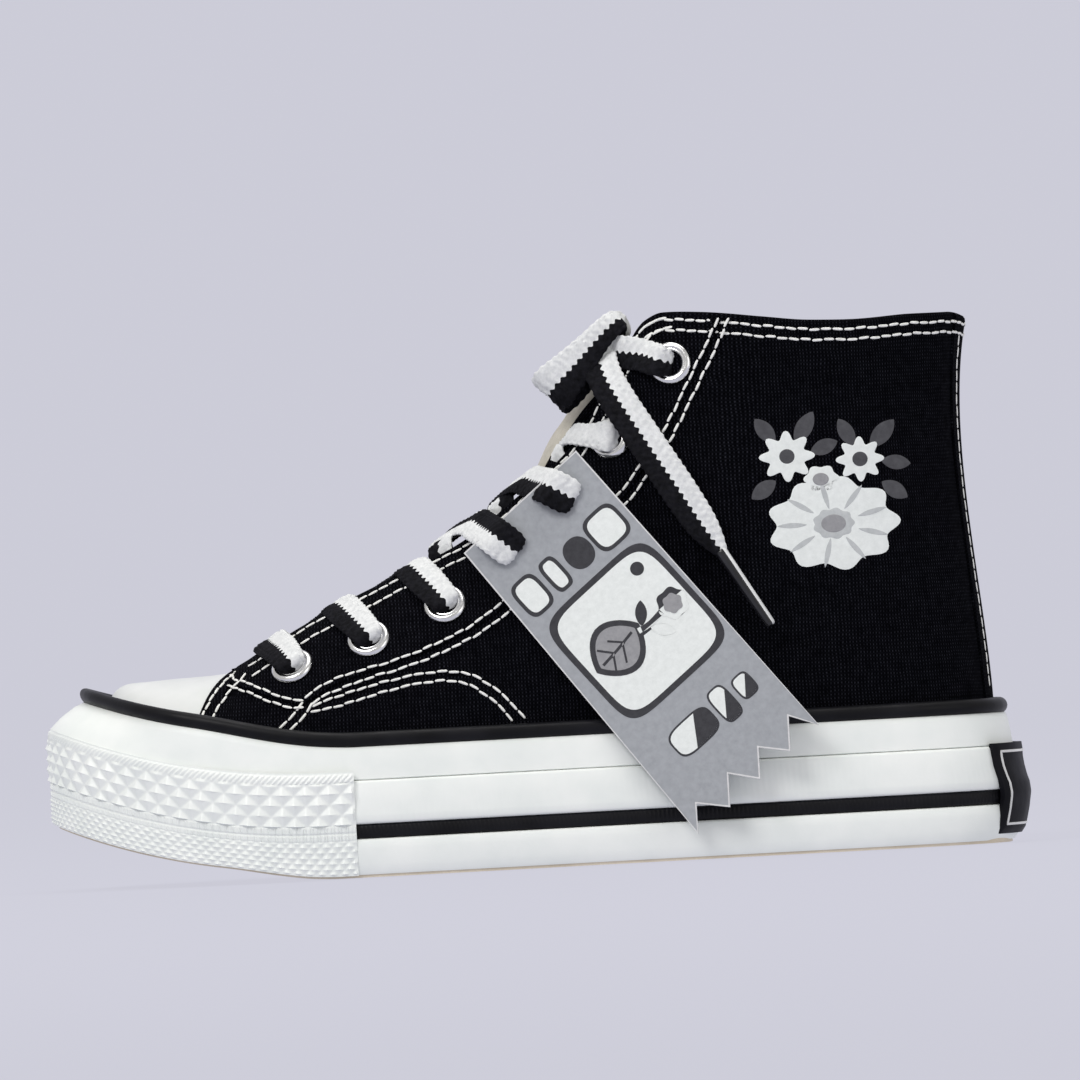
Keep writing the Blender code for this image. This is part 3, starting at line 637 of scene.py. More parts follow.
def cloth(name, dark, light, pitch, ribs, depth, roughness, sheen=0.15, gleam=0.25, sharp=1.0):
    """Woven cotton: a painted highlight that makes the threads lighter on their tops, uneven yarn and a soft
    sheen.
    """
    made, tree, shader = start_material(name, roughness, Sheen_Weight=sheen, Sheen_Roughness=0.5)
    shader.inputs["Specular IOR Level"].default_value = gleam
    height = weave_height(tree, pitch[0], pitch[1], ribs)
    uneven = ramp(tree, noise(tree, 420.0, 4.0, 0.7), 0.3, 0.72)
    # The colour is a painted highlight: it runs from dark to light with the threads' height, varied by the
    # uneven yarn.
    tops = math_node(tree, "POWER", height, sharp)
    painted_highlight = math_node(tree, "MULTIPLY", tops, ramp(tree, uneven, 0.0, 1.0, 0.15, 1.0))
    tree.links.new(mixed(tree, painted_highlight, dark, light), shader.inputs["Base Color"])
    rough_height = math_node(tree, "ADD", height, math_node(tree, "MULTIPLY", uneven, 0.5))
    bumped(tree, shader, rough_height, depth, 0.9)
    return made


def fibres(name, dark, light, roughness=0.9, depth=0.12, scale=1500.0, sheen=0.1, gleam=0.2):
    """Yarn or card: short streaks and a fuzzy surface."""
    made, tree, shader = start_material(name, roughness, Sheen_Weight=sheen, Sheen_Roughness=0.6)
    shader.inputs["Specular IOR Level"].default_value = gleam
    tone = ramp(tree, noise(tree, scale * 0.35, 4.0, 0.7), 0.3, 0.7)
    tree.links.new(mixed(tree, tone, dark, light), shader.inputs["Base Color"])
    bumped(tree, shader, noise(tree, scale, 3.0, 0.7), depth, 0.8)
    return made


def steel(name):
    """Plated metal with fine scratches."""
    made, tree, shader = start_material(name, 0.16, Metallic=1.0)
    tone = ramp(tree, noise(tree, 260.0), 0.3, 0.7)
    tree.links.new(mixed(tree, tone, (0.70, 0.70, 0.72), (0.86, 0.86, 0.87)), shader.inputs["Base Color"])
    scratches = ramp(tree, noise(tree, 900.0, 5.0, 0.8), 0.3, 0.75, 0.10, 0.30)
    tree.links.new(scratches, shader.inputs["Roughness"])
    return made


MIDSOLE_FOAM = rubber("midsole_finish", (0.62, 0.61, 0.57), (0.72, 0.71, 0.67), 0.7, 0.12, 500.0)
WHITE_RUBBER = rubber("white_rubber_finish", (0.80, 0.835, 0.82), (0.86, 0.885, 0.87), 0.42, 0.03)
CAP_RUBBER = rubber("toe_cap_finish", (0.67, 0.69, 0.69), (0.73, 0.745, 0.75), 0.34, 0.02)
BLACK_RUBBER = rubber(
    "black_rubber_finish", (0.004, 0.004, 0.0055), (0.009, 0.009, 0.012), 0.42, 0.05, gleam=0.14
)
TAN_RUBBER = rubber(
    "tan_rubber_finish", (0.62, 0.54, 0.42), (0.72, 0.64, 0.52), 0.6, 0.06, dirt=(0.30, 0.25, 0.19)
)
LABEL_RUBBER = rubber("label_finish", (0.004, 0.004, 0.006), (0.009, 0.009, 0.013), 0.5, 0.05, gleam=0.1)
LABEL_LINE = rubber("label_line_finish", (0.62, 0.62, 0.62), (0.80, 0.80, 0.79), 0.35, 0.02)
# The canvas's light colour is the painted highlight on its thread tops.
CANVAS = cloth(
    "canvas_finish", (0.0005, 0.0005, 0.0012), (0.034, 0.035, 0.047), pitch=(0.95, 1.05), ribs=0.7, depth=0.3,
    roughness=0.9, sheen=0.0, gleam=0.02, sharp=3.4,
)
STIFFENER = fibres("stiffener_finish", (0.46, 0.43, 0.37), (0.62, 0.58, 0.52))
# The lining's light colour is the painted highlight on its thread tops.
LINING_CLOTH = cloth("lining_finish", (0.46, 0.43, 0.37), (0.66, 0.63, 0.56), (0.7, 0.7), 0.1, 0.1, 0.9)
FOOTBED = fibres("footbed_finish", (0.020, 0.020, 0.022), (0.050, 0.050, 0.054))
BOARD = fibres("board_finish", (0.36, 0.28, 0.19), (0.50, 0.40, 0.28))
THREAD = fibres("thread_finish", (0.74, 0.74, 0.72), (0.92, 0.92, 0.90), 0.8, 0.05, 2600.0)
WHITE_YARN = fibres(
    "white_yarn_finish", (0.60, 0.615, 0.63), (0.80, 0.81, 0.82), 0.85, 0.12, 1800.0, sheen=0.02, gleam=0.1
)
BLACK_YARN = fibres(
    "black_yarn_finish", (0.0012, 0.0012, 0.002), (0.011, 0.011, 0.015), 0.8, 0.12, 1800.0,
    sheen=0.0, gleam=0.1,
)
STEEL = steel("eyelet_finish")
AGLET_BLACK = rubber("aglet_black_finish", (0.006, 0.006, 0.008), (0.016, 0.016, 0.02), 0.2, 0.02)
AGLET_WHITE = rubber("aglet_white_finish", (0.62, 0.63, 0.64), (0.80, 0.81, 0.82), 0.2, 0.02)


# Sole


def add_ring(name, shape, slot, made, replaced, step, relief):
    """A ring round the shoe. Its shape's rows are inset, height and shares of the toe's lean and rise."""
    rows = int(round(ROUND / step))
    distance = np.linspace(0.0, ROUND, rows, endpoint=False)[:, None]
    t = t_at(distance)
    inset, height, lean, rise = np.array([(*row, 0, 0)[:4] for row in shape], float).T
    inset = inset[None, :] + lean * toe_lean(t)
    height = height[None, :] + rise * toe_rise(t)
    inset = inset - relief(distance, height)
    points = rim(np.broadcast_to(t, inset.shape), inset, height)
    uv = np.stack([np.broadcast_to(distance, inset.shape), height], axis=-1)
    faces = grid_quads(rows, len(shape), wrap_rows=True, wrap_columns=True)
    add_piece(name, points.reshape(-1, 3), faces, "shoe", made, uv.reshape(-1, 2), nodes=(replaced,))


LOWER_BAND_SHAPE = [
    (2.7, 0.9), (2.7, 10.9), (0.9, 11.0), (0.3, 10.8), (0.0, 10.2), (-0.3, 8.0), (-0.2, 4.0), (0.2, 1.5),
    (0.6, 0.8),
]
STRIPE_SHAPE = [
    (2.7, 11.1), (2.7, 15.1), (1.0, 15.1), (0.55, 14.9), (0.35, 14.3), (0.35, 13.0), (0.35, 11.9),
    (0.55, 11.3), (1.0, 11.1),
]
MID_BAND_SHAPE = [
    (3.4, 15.2), (3.4, 27.6), (1.9, 27.6), (1.2, 27.4), (0.9, 26.8), (0.5, 22.0), (-0.2, 18.0), (-0.2, 16.0),
    (0.1, 15.4), (0.8, 15.2),
]
UPPER_BAND_SHAPE = [
    (6.0, 27.8), (6.6, 37.3, 1, 1), (5.0, 37.4, 1, 1), (4.1, 37.3, 1, 1), (3.5, 36.8, 1, 1),
    (3.0, 35.4, 0.76, 0.9), (2.5, 32.4, 0.38, 0.6), (2.1, 29.6, 0.1, 0.25), (1.9, 28.0), (2.3, 27.7),
]
PIPING_MIDDLE = (5.2, 39.1)
PIPING_SIZE = (2.35, 2.35)
RIB_PITCH = 1.25
RIB_DEPTH = 0.28
RIB_FACE = (11.6, 14.6)
RIB_FADE = 0.5
LINE_PITCH = 1.8
LINE_DEPTH = 0.05
LINE_SLANT = 0.6
LINE_FACE = (16.2, 26.4)
LINE_FADE = 0.8
TOE_PUSH = 1.5
TOE_SWELL = 0.95
TOE_SWELL_START = 30.0
TOE_SWELL_RUN = 10.0
HEEL_DRAW = 2.2
HEEL_DRAW_REACH = 34.0
HEEL_DRAW_START = 0.8
HEEL_DRAW_RUN = 5.0


def piping_shape(sides=18):
    """The piping's round section, which leans and rises with the toe."""
    turn = math.tau * np.arange(sides) / sides
    inset = PIPING_MIDDLE[0] + PIPING_SIZE[0] * np.cos(turn)
    height = PIPING_MIDDLE[1] + PIPING_SIZE[1] * np.sin(turn)
    return np.stack([inset, height, np.ones(sides), np.ones(sides)], axis=1)


def between(value, ends, run):
    """1 between two ends, and 0 outside them."""
    return smooth((value - ends[0]) / run) * smooth((ends[1] - value) / run)


def ripple(distance, pitch):
    """Even waves from 0 to 1."""
    return 0.5 + 0.5 * np.cos(math.tau * distance / pitch)


def stripe_ribs(distance, height):
    """Fine standing ribs on the black stripe's face."""
    return RIB_DEPTH * between(height, RIB_FACE, RIB_FADE) * ripple(distance, RIB_PITCH) ** 1.5


def slanted_lines(distance, height):
    """The shallow slanted lines moulded in the middle band."""
    wave = np.cos(math.tau * (distance + height * LINE_SLANT) / LINE_PITCH)
    return LINE_DEPTH * between(height, LINE_FACE, LINE_FADE) * wave


def toe_push(distance, height):
    """How far the piping stands out round the toe, the same at every height."""
    reach = distance_round(BUMPER_HALF_SPAN)
    away = np.minimum(distance, ROUND - distance)
    return TOE_PUSH * smooth((reach - away) / reach)


def toe_swell(distance, height):
    """The upper band stands out round the toe, most at its foot, where it meets the bumper."""
    foot = 1.0 - smooth((height - TOE_SWELL_START) / TOE_SWELL_RUN)
    return toe_push(distance, height) * (1.0 + TOE_SWELL * foot)


def heel_round(distance, height):
    """The lowest band draws in under the heel."""
    near = smooth(1.0 - np.abs(distance - ROUND / 2) / HEEL_DRAW_REACH)
    return -HEEL_DRAW * near * (1.0 - smooth((height - HEEL_DRAW_START) / HEEL_DRAW_RUN))


# The bumper's tiers, from the bottom: small facets, ribs, big facets and hatching. The facets' sizes are
# their width, height and lowest row.
BUMPER_TIERS = (10.6, 15.0, 27.12)
SMALL_FACETS = (3.3, 1.6, 1.0)
SMALL_FACET_DEPTH = 0.75
BIG_FACETS = (6.7, 3.03, 15.0)
BIG_FACET_DEPTH = 1.35
BUMPER_RIB_PITCH = 1.0
BUMPER_RIB_DEPTH = 0.42
BUMPER_RIB_BREAK = 12.7
BUMPER_RIB_HALF_BREAK = 0.35
HATCH_PITCH = 1.6
HATCH_START = 27.4


def facets(s, z, width, tall, first):
    """Rows of raised corners over hollow ones, each row moved on by half a width. -1 to 1."""
    row = np.floor((z - first) / tall)
    across = np.abs(np.mod(s / width + 0.5 * np.mod(row, 2), 1.0) - 0.5)
    rise = 1.0 - np.mod((z - first) / tall, 1.0) - 2.0 * across
    return np.where(rise > 0, rise, -0.75 * rise)


def bumper_relief(s, z, top):
    """Height of the toe bumper's moulded pattern above its ground, at a distance round and a height."""
    low = facets(s, z, *SMALL_FACETS) * SMALL_FACET_DEPTH
    unbroken = np.abs(z - BUMPER_RIB_BREAK) > BUMPER_RIB_HALF_BREAK
    ribs = BUMPER_RIB_DEPTH * ripple(s, BUMPER_RIB_PITCH) * unbroken
    tall = facets(s, z, *BIG_FACETS) * BIG_FACET_DEPTH
    hatch = BUMPER_RIB_DEPTH * ripple(s - (z - HATCH_START), HATCH_PITCH)
    relief = np.select([z < tier for tier in BUMPER_TIERS], [low, ribs, tall], hatch)
    ledges = np.minimum.reduce([np.abs(z - tier) for tier in BUMPER_TIERS])
    ends = smooth((z - 0.9) / 0.4) * smooth((top - 0.5 - z) / 0.5)
    return relief * smooth(ledges / 0.3) * ends


BUMPER_HALF_SPAN = 4.53
BUMPER_LOW = 0.6
BUMPER_HIGH = 30.3
BUMPER_RISE = 0.3
BUMPER_OUT = 0.5
BUMPER_BACK = 0.8
BUMPER_LIP = 0.45
BUMPER_LIP_TALL = 2.4


def add_bumper():
    """The patterned strip that wraps the toe from one side to the other."""
    reach = distance_round(BUMPER_HALF_SPAN)
    hatch_rows = np.linspace(HATCH_START, BUMPER_HIGH, 12)
    columns = np.concatenate([[BUMPER_LOW], np.arange(1.0, 27.3, 0.27), hatch_rows])
    s = np.linspace(-reach, reach, 2 * int(reach / 0.4) + 1)[:, None]
    top = BUMPER_HIGH + BUMPER_RISE * toe_rise(t_at(s)) / TOE_RISE
    z = columns[None, :] * np.where(columns > 27.0, top / BUMPER_HIGH, 1.0)
    s, t = np.broadcast_to(s, z.shape), np.broadcast_to(t_at(s), z.shape)
    relief = bumper_relief(s, z, top)
    ends = smooth((reach - np.abs(s)) / 0.8)
    lip = BUMPER_LIP * smooth((z - top + BUMPER_LIP_TALL) / BUMPER_LIP_TALL)
    outer = rim(t, -BUMPER_OUT - relief * ends * 1.05 + lip - 0.1 * ends, z)
    inner = rim(t, np.full_like(z, BUMPER_BACK), z)
    uv = np.stack([s, z], axis=-1)
    finish = ("white_rubber", WHITE_RUBBER)
    add_shell("toe_bumper_skin", outer, inner, "shoe", *finish, uv, nodes=("toe_bumper",))


LABEL_HALF_SPAN = 1.3
LABEL_LOW = 2.5
LABEL_HIGH = 28.4
LABEL_SWELL = [
    (2.5, 0.6), (4.0, 0.0), (6, -0.6), (9.8, -1.5), (14.2, -2.2), (17, -1.9), (19, -1.25), (22, -0.6),
    (24.4, -0.3), (27, -0.3), (28.4, -0.6),
]
LABEL_WIDTH = [(2.5, 0.99), (8, 0.975), (13, 0.96), (17, 0.975), (22, 1.02), (28.4, 1.05)]


LABEL_BACK = 1.6
LABEL_STEP = 0.8
# Places across the raised line and their heights over the label
LABEL_LINE_SHAPE = ((-0.42, 0.35), (-0.3, 0.75), (0.3, 0.75), (0.42, 0.35))
HEEL_AT = distance_round(TURN / 2)


def at_height(rows, z):
    """The value at a height, from rows of height and value."""
    heights, values = np.array(rows).T
    return np.interp(z, heights, values)


def on_label(s, z, lift):
    """The label's points at a distance across and a height. It follows the sole's side, out and then in."""
    return rim(t_at(HEEL_AT + s * at_height(LABEL_WIDTH, z)), at_height(LABEL_SWELL, z) - lift, z)


def label_grid(reach, lift):
    """The label's sheet, with its edges turned in."""
    s = np.linspace(-reach, reach, 2 * int(reach / LABEL_STEP) + 1)[:, None]
    z = np.linspace(LABEL_LOW, LABEL_HIGH, int((LABEL_HIGH - LABEL_LOW) / LABEL_STEP) + 1)[None, :]
    s, z = np.broadcast_arrays(s, z)
    edge = np.minimum.reduce([reach - np.abs(s), z - LABEL_LOW, LABEL_HIGH - z])
    return on_label(s, z, lift + 0.5 * smooth(edge / 1.6)), np.stack([s, z], axis=-1)


def add_label():
    """The black heel label and its raised silver line."""
    reach = distance_round(TURN / 2 + LABEL_HALF_SPAN) - HEEL_AT
    outer, uv = label_grid(reach, 0.0)
    inner, _ = label_grid(reach, -LABEL_BACK)
    finish = ("label_rubber", LABEL_RUBBER)
    add_shell("heel_label_plate", outer, inner, "shoe", *finish, uv, nodes=("heel_label",))
    side, low, high = reach - 2.6, LABEL_LOW + 2.7, LABEL_HIGH - 2.4
    corners = np.array([(-side, low), (side, low), (side, high), (-side, high)])
    share = np.linspace(0.0, 1.0, 40)[:-1, None]
    line = np.concatenate([a + (b - a) * share for a, b in zip(corners, np.roll(corners, -1, axis=0))])
    along = unit(np.roll(line, -1, axis=0) - np.roll(line, 1, axis=0))
    across = np.stack([along[:, 1], -along[:, 0]], axis=1)
    rows = [on_label(*(line + across * place).T, lift) for place, lift in LABEL_LINE_SHAPE]
    points = np.stack(rows, axis=1).reshape(-1, 3)
    faces = grid_quads(len(line), len(rows), wrap_rows=True, wrap_columns=True)
    add_piece("heel_label_line", points, faces, "shoe", LABEL_LINE)


TREAD_DEPTH = 1.5
TREAD_PITCH = 9.0
TREAD_ROW = 6.0
TREAD_WAVE = 2.2
TREAD_WAVE_LONG = 13.0
OUTSOLE_THICK = 4.0


def tread(x, y):
    """Depth of the tread's grooves: a wave pattern with cross grooves, 0 to 1."""
    wave = y + TREAD_WAVE * np.sin(math.tau * x / TREAD_WAVE_LONG)
    groove = np.abs(np.mod(wave / TREAD_ROW, 1.0) - 0.5) * 2.0
    cross = np.abs(np.mod(x / TREAD_PITCH, 1.0) - 0.5) * 2.0
    return np.maximum(smooth((groove - 0.72) / 0.12), 0.7 * smooth((cross - 0.86) / 0.07))


def across_sole(u, v, inset, height):
    """Points from the lateral edge (v 0) to the medial edge (v 1), and the vectors between the two edges."""
    near = rim(u, inset, np.full_like(u, height))
    far = rim(TURN - u, inset, np.full_like(u, height))
    return near + (far - near) * v[..., None], far - near


def raised(height):
    """Upward vectors of these lengths."""
    return np.stack([0 * height, 0 * height, height], axis=-1)


def add_outsole():
    """The tan sheet that meets the ground, with its grooves inside a plain rim."""
    u = np.linspace(0.04, 11.96, 330)[:, None]
    v = np.linspace(0.0, 1.0, 120)[None, :]
    flat, span = across_sole(u, v, 1.0 + 2.4 * smooth((u - 10.6) / 1.3), 0.0)
    edge = np.minimum(v, 1 - v) * span[..., 1]
    depth = TREAD_DEPTH * tread(flat[..., 0], flat[..., 1]) * smooth((edge - 4.0) / 1.0)
    depth = depth * smooth((u - 0.7) / 0.2) * smooth((11.4 - u) / 0.2)
    bottom = (flat + raised(depth))[:, ::-1]
    roof = (flat + np.array([0.0, 0.0, OUTSOLE_THICK]))[:, ::-1]
    uv = flat[:, ::-1, :2]
    add_shell("outsole_tread", bottom, roof, "shoe", "tan_rubber", TAN_RUBBER, uv, nodes=("outsole",))


def add_sole():
    """The five rings round the shoe, the bumper, the heel label and the outsole."""
    white, black = ("white_rubber", WHITE_RUBBER), ("black_rubber", BLACK_RUBBER)
    add_ring("lower_band", LOWER_BAND_SHAPE, *white, "foxing_lower_band", 1.2, heel_round)
    add_ring("stripe", STRIPE_SHAPE, *black, "foxing_stripe", RIB_PITCH / 4, stripe_ribs)
    add_ring("mid_band", MID_BAND_SHAPE, *white, "foxing_mid_band", 0.45, slanted_lines)
    add_ring("upper_band", UPPER_BAND_SHAPE, *white, "foxing_upper_band", 1.2, toe_swell)
    add_ring("piping", piping_shape(), *black, "top_piping", 1.2, toe_push)
    add_bumper()
    add_label()
    add_outsole()


# Upper

SHEET = 0.6
LINING_FACE = -2.6
LINING_THICK = 0.7
LINING_B = (0.03, 0.955)
ROLL_STEPS = 7
FACING_REACH = (2.0, 5.0, 9.0)
OVERLAY_OUT = 0.95
VAMP_OUT = 0.5
STAY_OUT = 0.7
STAY_T = (11.2, 12.8)
STAY_WIDE = 30.0
BRIDGE_T = (3.24, 3.78)
BRIDGE_ARCH = 0.9
CLOTH_EDGE = 0.45
CANVAS_FOOT_B = 0.02
EYESTAY_OUTER = [
    (-87.5, 57.2), (-82, 55.2), (-76, 52.8), (-66, 50), (-62, 51.6), (-56, 55.0), (-48, 57.6), (-40, 60),
    (-30, 63), (-20, 67.1), (-12, 71), (-5, 76), (3, 82.5), (12, 89.5), (20, 95.5), (28, 103), (34, 110.5),
    (40, 118.5), (45, 127), (50, 136), (55, 145), (60.5, 155),
]
VAMP_TOP = [
    (-92, 54.4), (-84, 52.8), (-77, 50.9), (-66.5, 48.4), (-55, 50.6), (-40, 53.6), (-30, 55.3), (-22, 55.8),
    (-16, 54.6), (-11, 51.5), (-6, 46.8), (-2, 42.0),
]


def cloth_uv(t, b, points):
    """Cloth coordinates in millimetres: distance round the shoe and height."""
    return np.stack([distance_round(t) * 0.92, points[..., 2] + 0 * b], axis=-1)


def edge_frame(t):
    """At the top edge: the point, the outward direction, the upward direction and millimetres per b."""
    edge = canvas(t, 1.0)
    normal = canvas_normal(t, 0.985)
    rise = (edge - canvas(t, 0.97)) / 0.03
    up = unit(rise - normal * (rise * normal).sum(-1, keepdims=True))
    return edge, normal, up, np.linalg.norm(rise, axis=-1)


def rolled_edge(t, out, thickness):
    """Outer and inner points that carry a sheet over the top edge and down to the lining."""
    edge, normal, up, _ = edge_frame(t)
    radius = (out - LINING_FACE) / 2
    centre = edge - up * radius + normal * (out - radius)
    outer, inner = [], []
    for angle in np.linspace(0.0, math.pi, ROLL_STEPS):
        spoke = normal * math.cos(angle) + up * math.sin(angle)
        outer.append(centre + spoke * radius)
        inner.append(centre + spoke * (radius - thickness))
    for reach in FACING_REACH:
        inside = centre - normal * radius - up * reach
        outer.append(inside)
        inner.append(inside + normal * thickness)
    return np.stack(outer, axis=-2), np.stack(inner, axis=-2)


def top_b(t, out):
    """How far up a sheet goes before its edge rolls over."""
    return 1.0 - (out - LINING_FACE) / 2 / edge_frame(t)[-1]


def with_roll(t_grid, b_grid, out_grid, out, thickness):
    """Grids of a sheet whose last column rolls over the top edge at that column's t."""
    outer = layer(t_grid, b_grid, out_grid)
    inner = layer(t_grid, b_grid, out - thickness)
    roll_out, roll_in = rolled_edge(t_grid[:, -1], out, thickness)
    outer = np.concatenate([outer, roll_out[:, 1:]], axis=1)
    inner = np.concatenate([inner, roll_in[:, 1:]], axis=1)
    flat = cloth_uv(t_grid, b_grid, layer(t_grid, b_grid, 0.0))
    extra = roll_out.shape[1] - 1
    steps = np.arange(1, extra + 1) * 0.8
    tail = np.stack([np.repeat(flat[:, -1:, 0], extra, axis=1), flat[:, -1:, 1] + steps[None, :]], axis=-1)
    return outer, inner, np.concatenate([flat, tail], axis=1)


def turned(outer, inner, uv, side):
    """The same grids with their rows in the order that makes them face outward."""
    return (outer, inner, uv) if side < 0 else (outer[::-1], inner[::-1], uv[::-1])


def add_canvas(name, outer, inner, uv, nodes=()):
    """A sheet of the shoe's black canvas."""
    add_shell(name, outer, inner, "shoe", "canvas_black", CANVAS, uv, nodes=nodes)


def add_quarter(side, word):
    """One side of the boot, from the toe cap to the heel."""
    u = np.linspace(0.0, 1.0, 230)[:, None]
    v = np.linspace(0.0, 1.0, 56)[None, :]
    front = CAP_SEAM[0] + v * (RIDGE_END - CAP_SEAM[0]) + 0.02
    t = on_side(front + (12.0 - front) * u, side)
    b = v * top_b(t[:, -1], 0.0)[:, None]
    soft = 0.10 * np.sin(distance_round(t) * 0.21) * np.sin(b * 17.0)
    grids = with_roll(t, np.broadcast_to(b, t.shape), soft * smooth((1 - v) / 0.1), 0.0, SHEET)
    nodes = ("quarter_" + word,) + (("collar_facing",) if side < 0 else ())
    add_canvas("quarter_" + word + "_cloth", *turned(*grids, side), nodes)


def cloth_drop(distance):
    """How far a cut edge's face drops at a distance in from the edge."""
    share = 1.0 - np.clip(distance / CLOTH_EDGE, 0, 1)
    return CLOTH_EDGE * (1.0 - np.sqrt(np.clip(1.0 - share**2, 0, 1)))


EYESTAY_EDGE_T = (3.31, 7.66)
EYESTAY_WIDE = 22.0
EYESTAY_LONG = 260.0
VAMP_FOOT_T = (2.86, 6.02)
VAMP_TALL = 20.0
VAMP_LONG = 110.0


def add_eyestay(side, word):
    """The reinforcement that carries the eyelets and rolls over the throat's edge."""
    u = np.linspace(0.0, 1.0, 200)
    far = resample(locate(EYESTAY_OUTER), u)
    start, end = EYESTAY_EDGE_T
    near_t = start + (end - start) * (0.25 * u + 0.75 * (far[:, 0] - far[0, 0]) / (far[-1, 0] - far[0, 0]))
    near_b = top_b(on_side(near_t, side), OVERLAY_OUT)
    v = np.concatenate([[0.0, 0.004, 0.012, 0.03], np.linspace(0.06, 1.0, 22)])[None, :]
    t = far[:, :1] + (near_t[:, None] - far[:, :1]) * v
    b = far[:, 1:] + (near_b[:, None] - far[:, 1:]) * v
    b = np.clip(b, CANVAS_FOOT_B, near_b[:, None])
    ends = np.minimum(u, 1.0 - u)[:, None] * EYESTAY_LONG
    out = OVERLAY_OUT - cloth_drop(v * EYESTAY_WIDE) + 0 * t - cloth_drop(ends)
    grids = with_roll(on_side(t, side), b, out, OVERLAY_OUT, SHEET)
    add_canvas("eyestay_" + word + "_cloth", *turned(*grids, side), ("eyestay_" + word,))


def add_vamp(side, word):
    """The patch low on the front quarter, under the curved double seam."""
    u = np.linspace(0.0, 1.0, 130)
    high = resample(locate(VAMP_TOP), u)
    start, end = VAMP_FOOT_T
    low_t = start + (high[:, 0] - high[0, 0]) * (end - start) / (high[-1, 0] - high[0, 0])
    v = np.concatenate([np.linspace(0.0, 0.94, 22), [0.97, 0.988, 0.996, 1.0]])[None, :]
    t = on_side(low_t[:, None] + (high[:, :1] - low_t[:, None]) * v, side)
    b = CANVAS_FOOT_B + (high[:, 1:] - CANVAS_FOOT_B) * v
    out = VAMP_OUT - cloth_drop((1.0 - v) * VAMP_TALL) - cloth_drop((1.0 - u)[:, None] * VAMP_LONG)
    outer = layer(t, b, out)
    grids = turned(outer, layer(t, b, -0.05), cloth_uv(t, b, outer), side)
    add_canvas("vamp_" + word + "_cloth", *grids, ("vamp_" + word,))


def ridge_pairs(seam, b_rows, out):
    """Points of a line over the toe's ridge: up the lateral side, then down the medial side."""
    t = np.concatenate([seam, (TURN - seam)[::-1]])
    return layer(t, np.concatenate([b_rows, b_rows[::-1]]), out)


def add_toe_cap():
    """The white dome, from the piping to just under the canvas's front edge."""
    u = np.linspace(-1.0, 1.0, 181)[:, None]
    v = np.linspace(0.0, 1.0, 48)[None, :]
    seam = CAP_SEAM[0] + v * (CAP_SEAM[1] - CAP_SEAM[0]) + 0.05
    t = np.mod(seam * u, TURN)
    outer = layer(t, v, 0.05)
    inner = layer(t, v, -0.9)
    uv = np.stack([distance_round(np.mod(t + TURN / 2, TURN)), outer[..., 2]], axis=-1)
    grids = (outer[::-1], inner[::-1])
    add_shell("toe_cap_dome", *grids, "shoe", "toe_cap_rubber", CAP_RUBBER, uv[::-1], nodes=("toe_cap",))


def outward_rows(points):
    """Outward directions of a grid of points over the toe."""
    by_row = np.gradient(points, axis=0)
    by_column = np.gradient(points, axis=1)
    normal = np.cross(by_column, by_row)
    normal /= np.maximum(np.linalg.norm(normal, axis=-1, keepdims=True), 1e-9)
    return normal * np.where(normal[..., 2:3] < 0, -1.0, 1.0)


# How far behind the cap's seam each line of the strip lies, in t, and how far out from the canvas
VAMP_FRONT_LINES = [
    (0.0, 0.1), (0.004, 0.45), (0.012, 0.7), (0.05, 0.8), (0.12, 0.8), (0.2, 0.78), (0.27, 0.6),
]


def add_vamp_front():
    """The canvas strip that crosses the toe between the cap and the throat."""
    b = np.linspace(0.0, 1.0, 61)
    columns = []
    for back, out in VAMP_FRONT_LINES:
        seam = CAP_SEAM[0] + b * (CAP_SEAM[1] - CAP_SEAM[0]) + back * (1.0 - b * 0.55)
        # The front edge curves forward between the sole and the ridge
        seam = seam - 0.07 + 0.04 * b - 0.045 * np.sin(math.pi * b)
        columns.append(ridge_pairs(np.minimum(seam, 3.3 + 0.1 * (1 - b)), b, out))
    outer = np.stack(columns, axis=1)
    inner = outer - outward_rows(outer) * 0.5
    add_canvas("vamp_front_cloth", outer[:, ::-1], inner[:, ::-1], outer[:, ::-1, :2])


def add_bridge():
    """The canvas in front of the throat, between its two sides, which the lowest lace lies on."""
    u = np.linspace(0.0, 1.0, 24)[:, None]
    v = np.linspace(0.0, 1.0, 31)[None, :]
    t = BRIDGE_T[0] + (BRIDGE_T[1] - BRIDGE_T[0]) * u + 0 * v
    lateral, medial = layer(t, 0.985, 0.2), layer(TURN - t, 0.985, 0.2)
    arch = np.array([-0.3, 0.0, 1.0]) * (4 * v * (1 - v) * BRIDGE_ARCH)[..., None]
    outer = lateral + (medial - lateral) * v[..., None] + arch
    add_canvas("vamp_bridge_cloth", outer, outer - np.array([-0.2, 0.0, 0.7]), outer[..., :2])


def add_lining():
    """The cream lining, a closed sock from the sole to the collar."""
    v = np.linspace(0.0, 1.0, 40)[None, :]
    t = t_at(np.linspace(0.0, ROUND, 300, endpoint=False))[:, None] + 0 * v
    b = LINING_B[0] + (LINING_B[1] - LINING_B[0]) * v + 0 * t
    face = LINING_FACE - 0.05
    outer = layer(t, b, face)
    inner = layer(t, b, face - LINING_THICK)
    uv = cloth_uv(t, b, outer)
    add_shell("lining_sock", outer, inner, "shoe", "lining_cloth", LINING_CLOTH, uv, True, ("lining",))


def add_heel_stay():
    """The strip that covers the seam at the back."""
    u = np.concatenate([[0.0, 0.004, 0.012], np.linspace(0.03, 0.97, 30), [0.988, 0.996, 1.0]])[:, None]
    v = np.linspace(0.0, 1.0, 70)[None, :]
    t = STAY_T[0] + (STAY_T[1] - STAY_T[0]) * u + 0 * v
    out = STAY_OUT - cloth_drop(np.minimum(u, 1 - u) * STAY_WIDE) + 0 * v
    b = CANVAS_FOOT_B + (top_b(t[:, -1], STAY_OUT)[:, None] - CANVAS_FOOT_B) * v
    add_canvas("heel_stay_cloth", *with_roll(t, b, out, STAY_OUT, SHEET), ("heel_stay",))


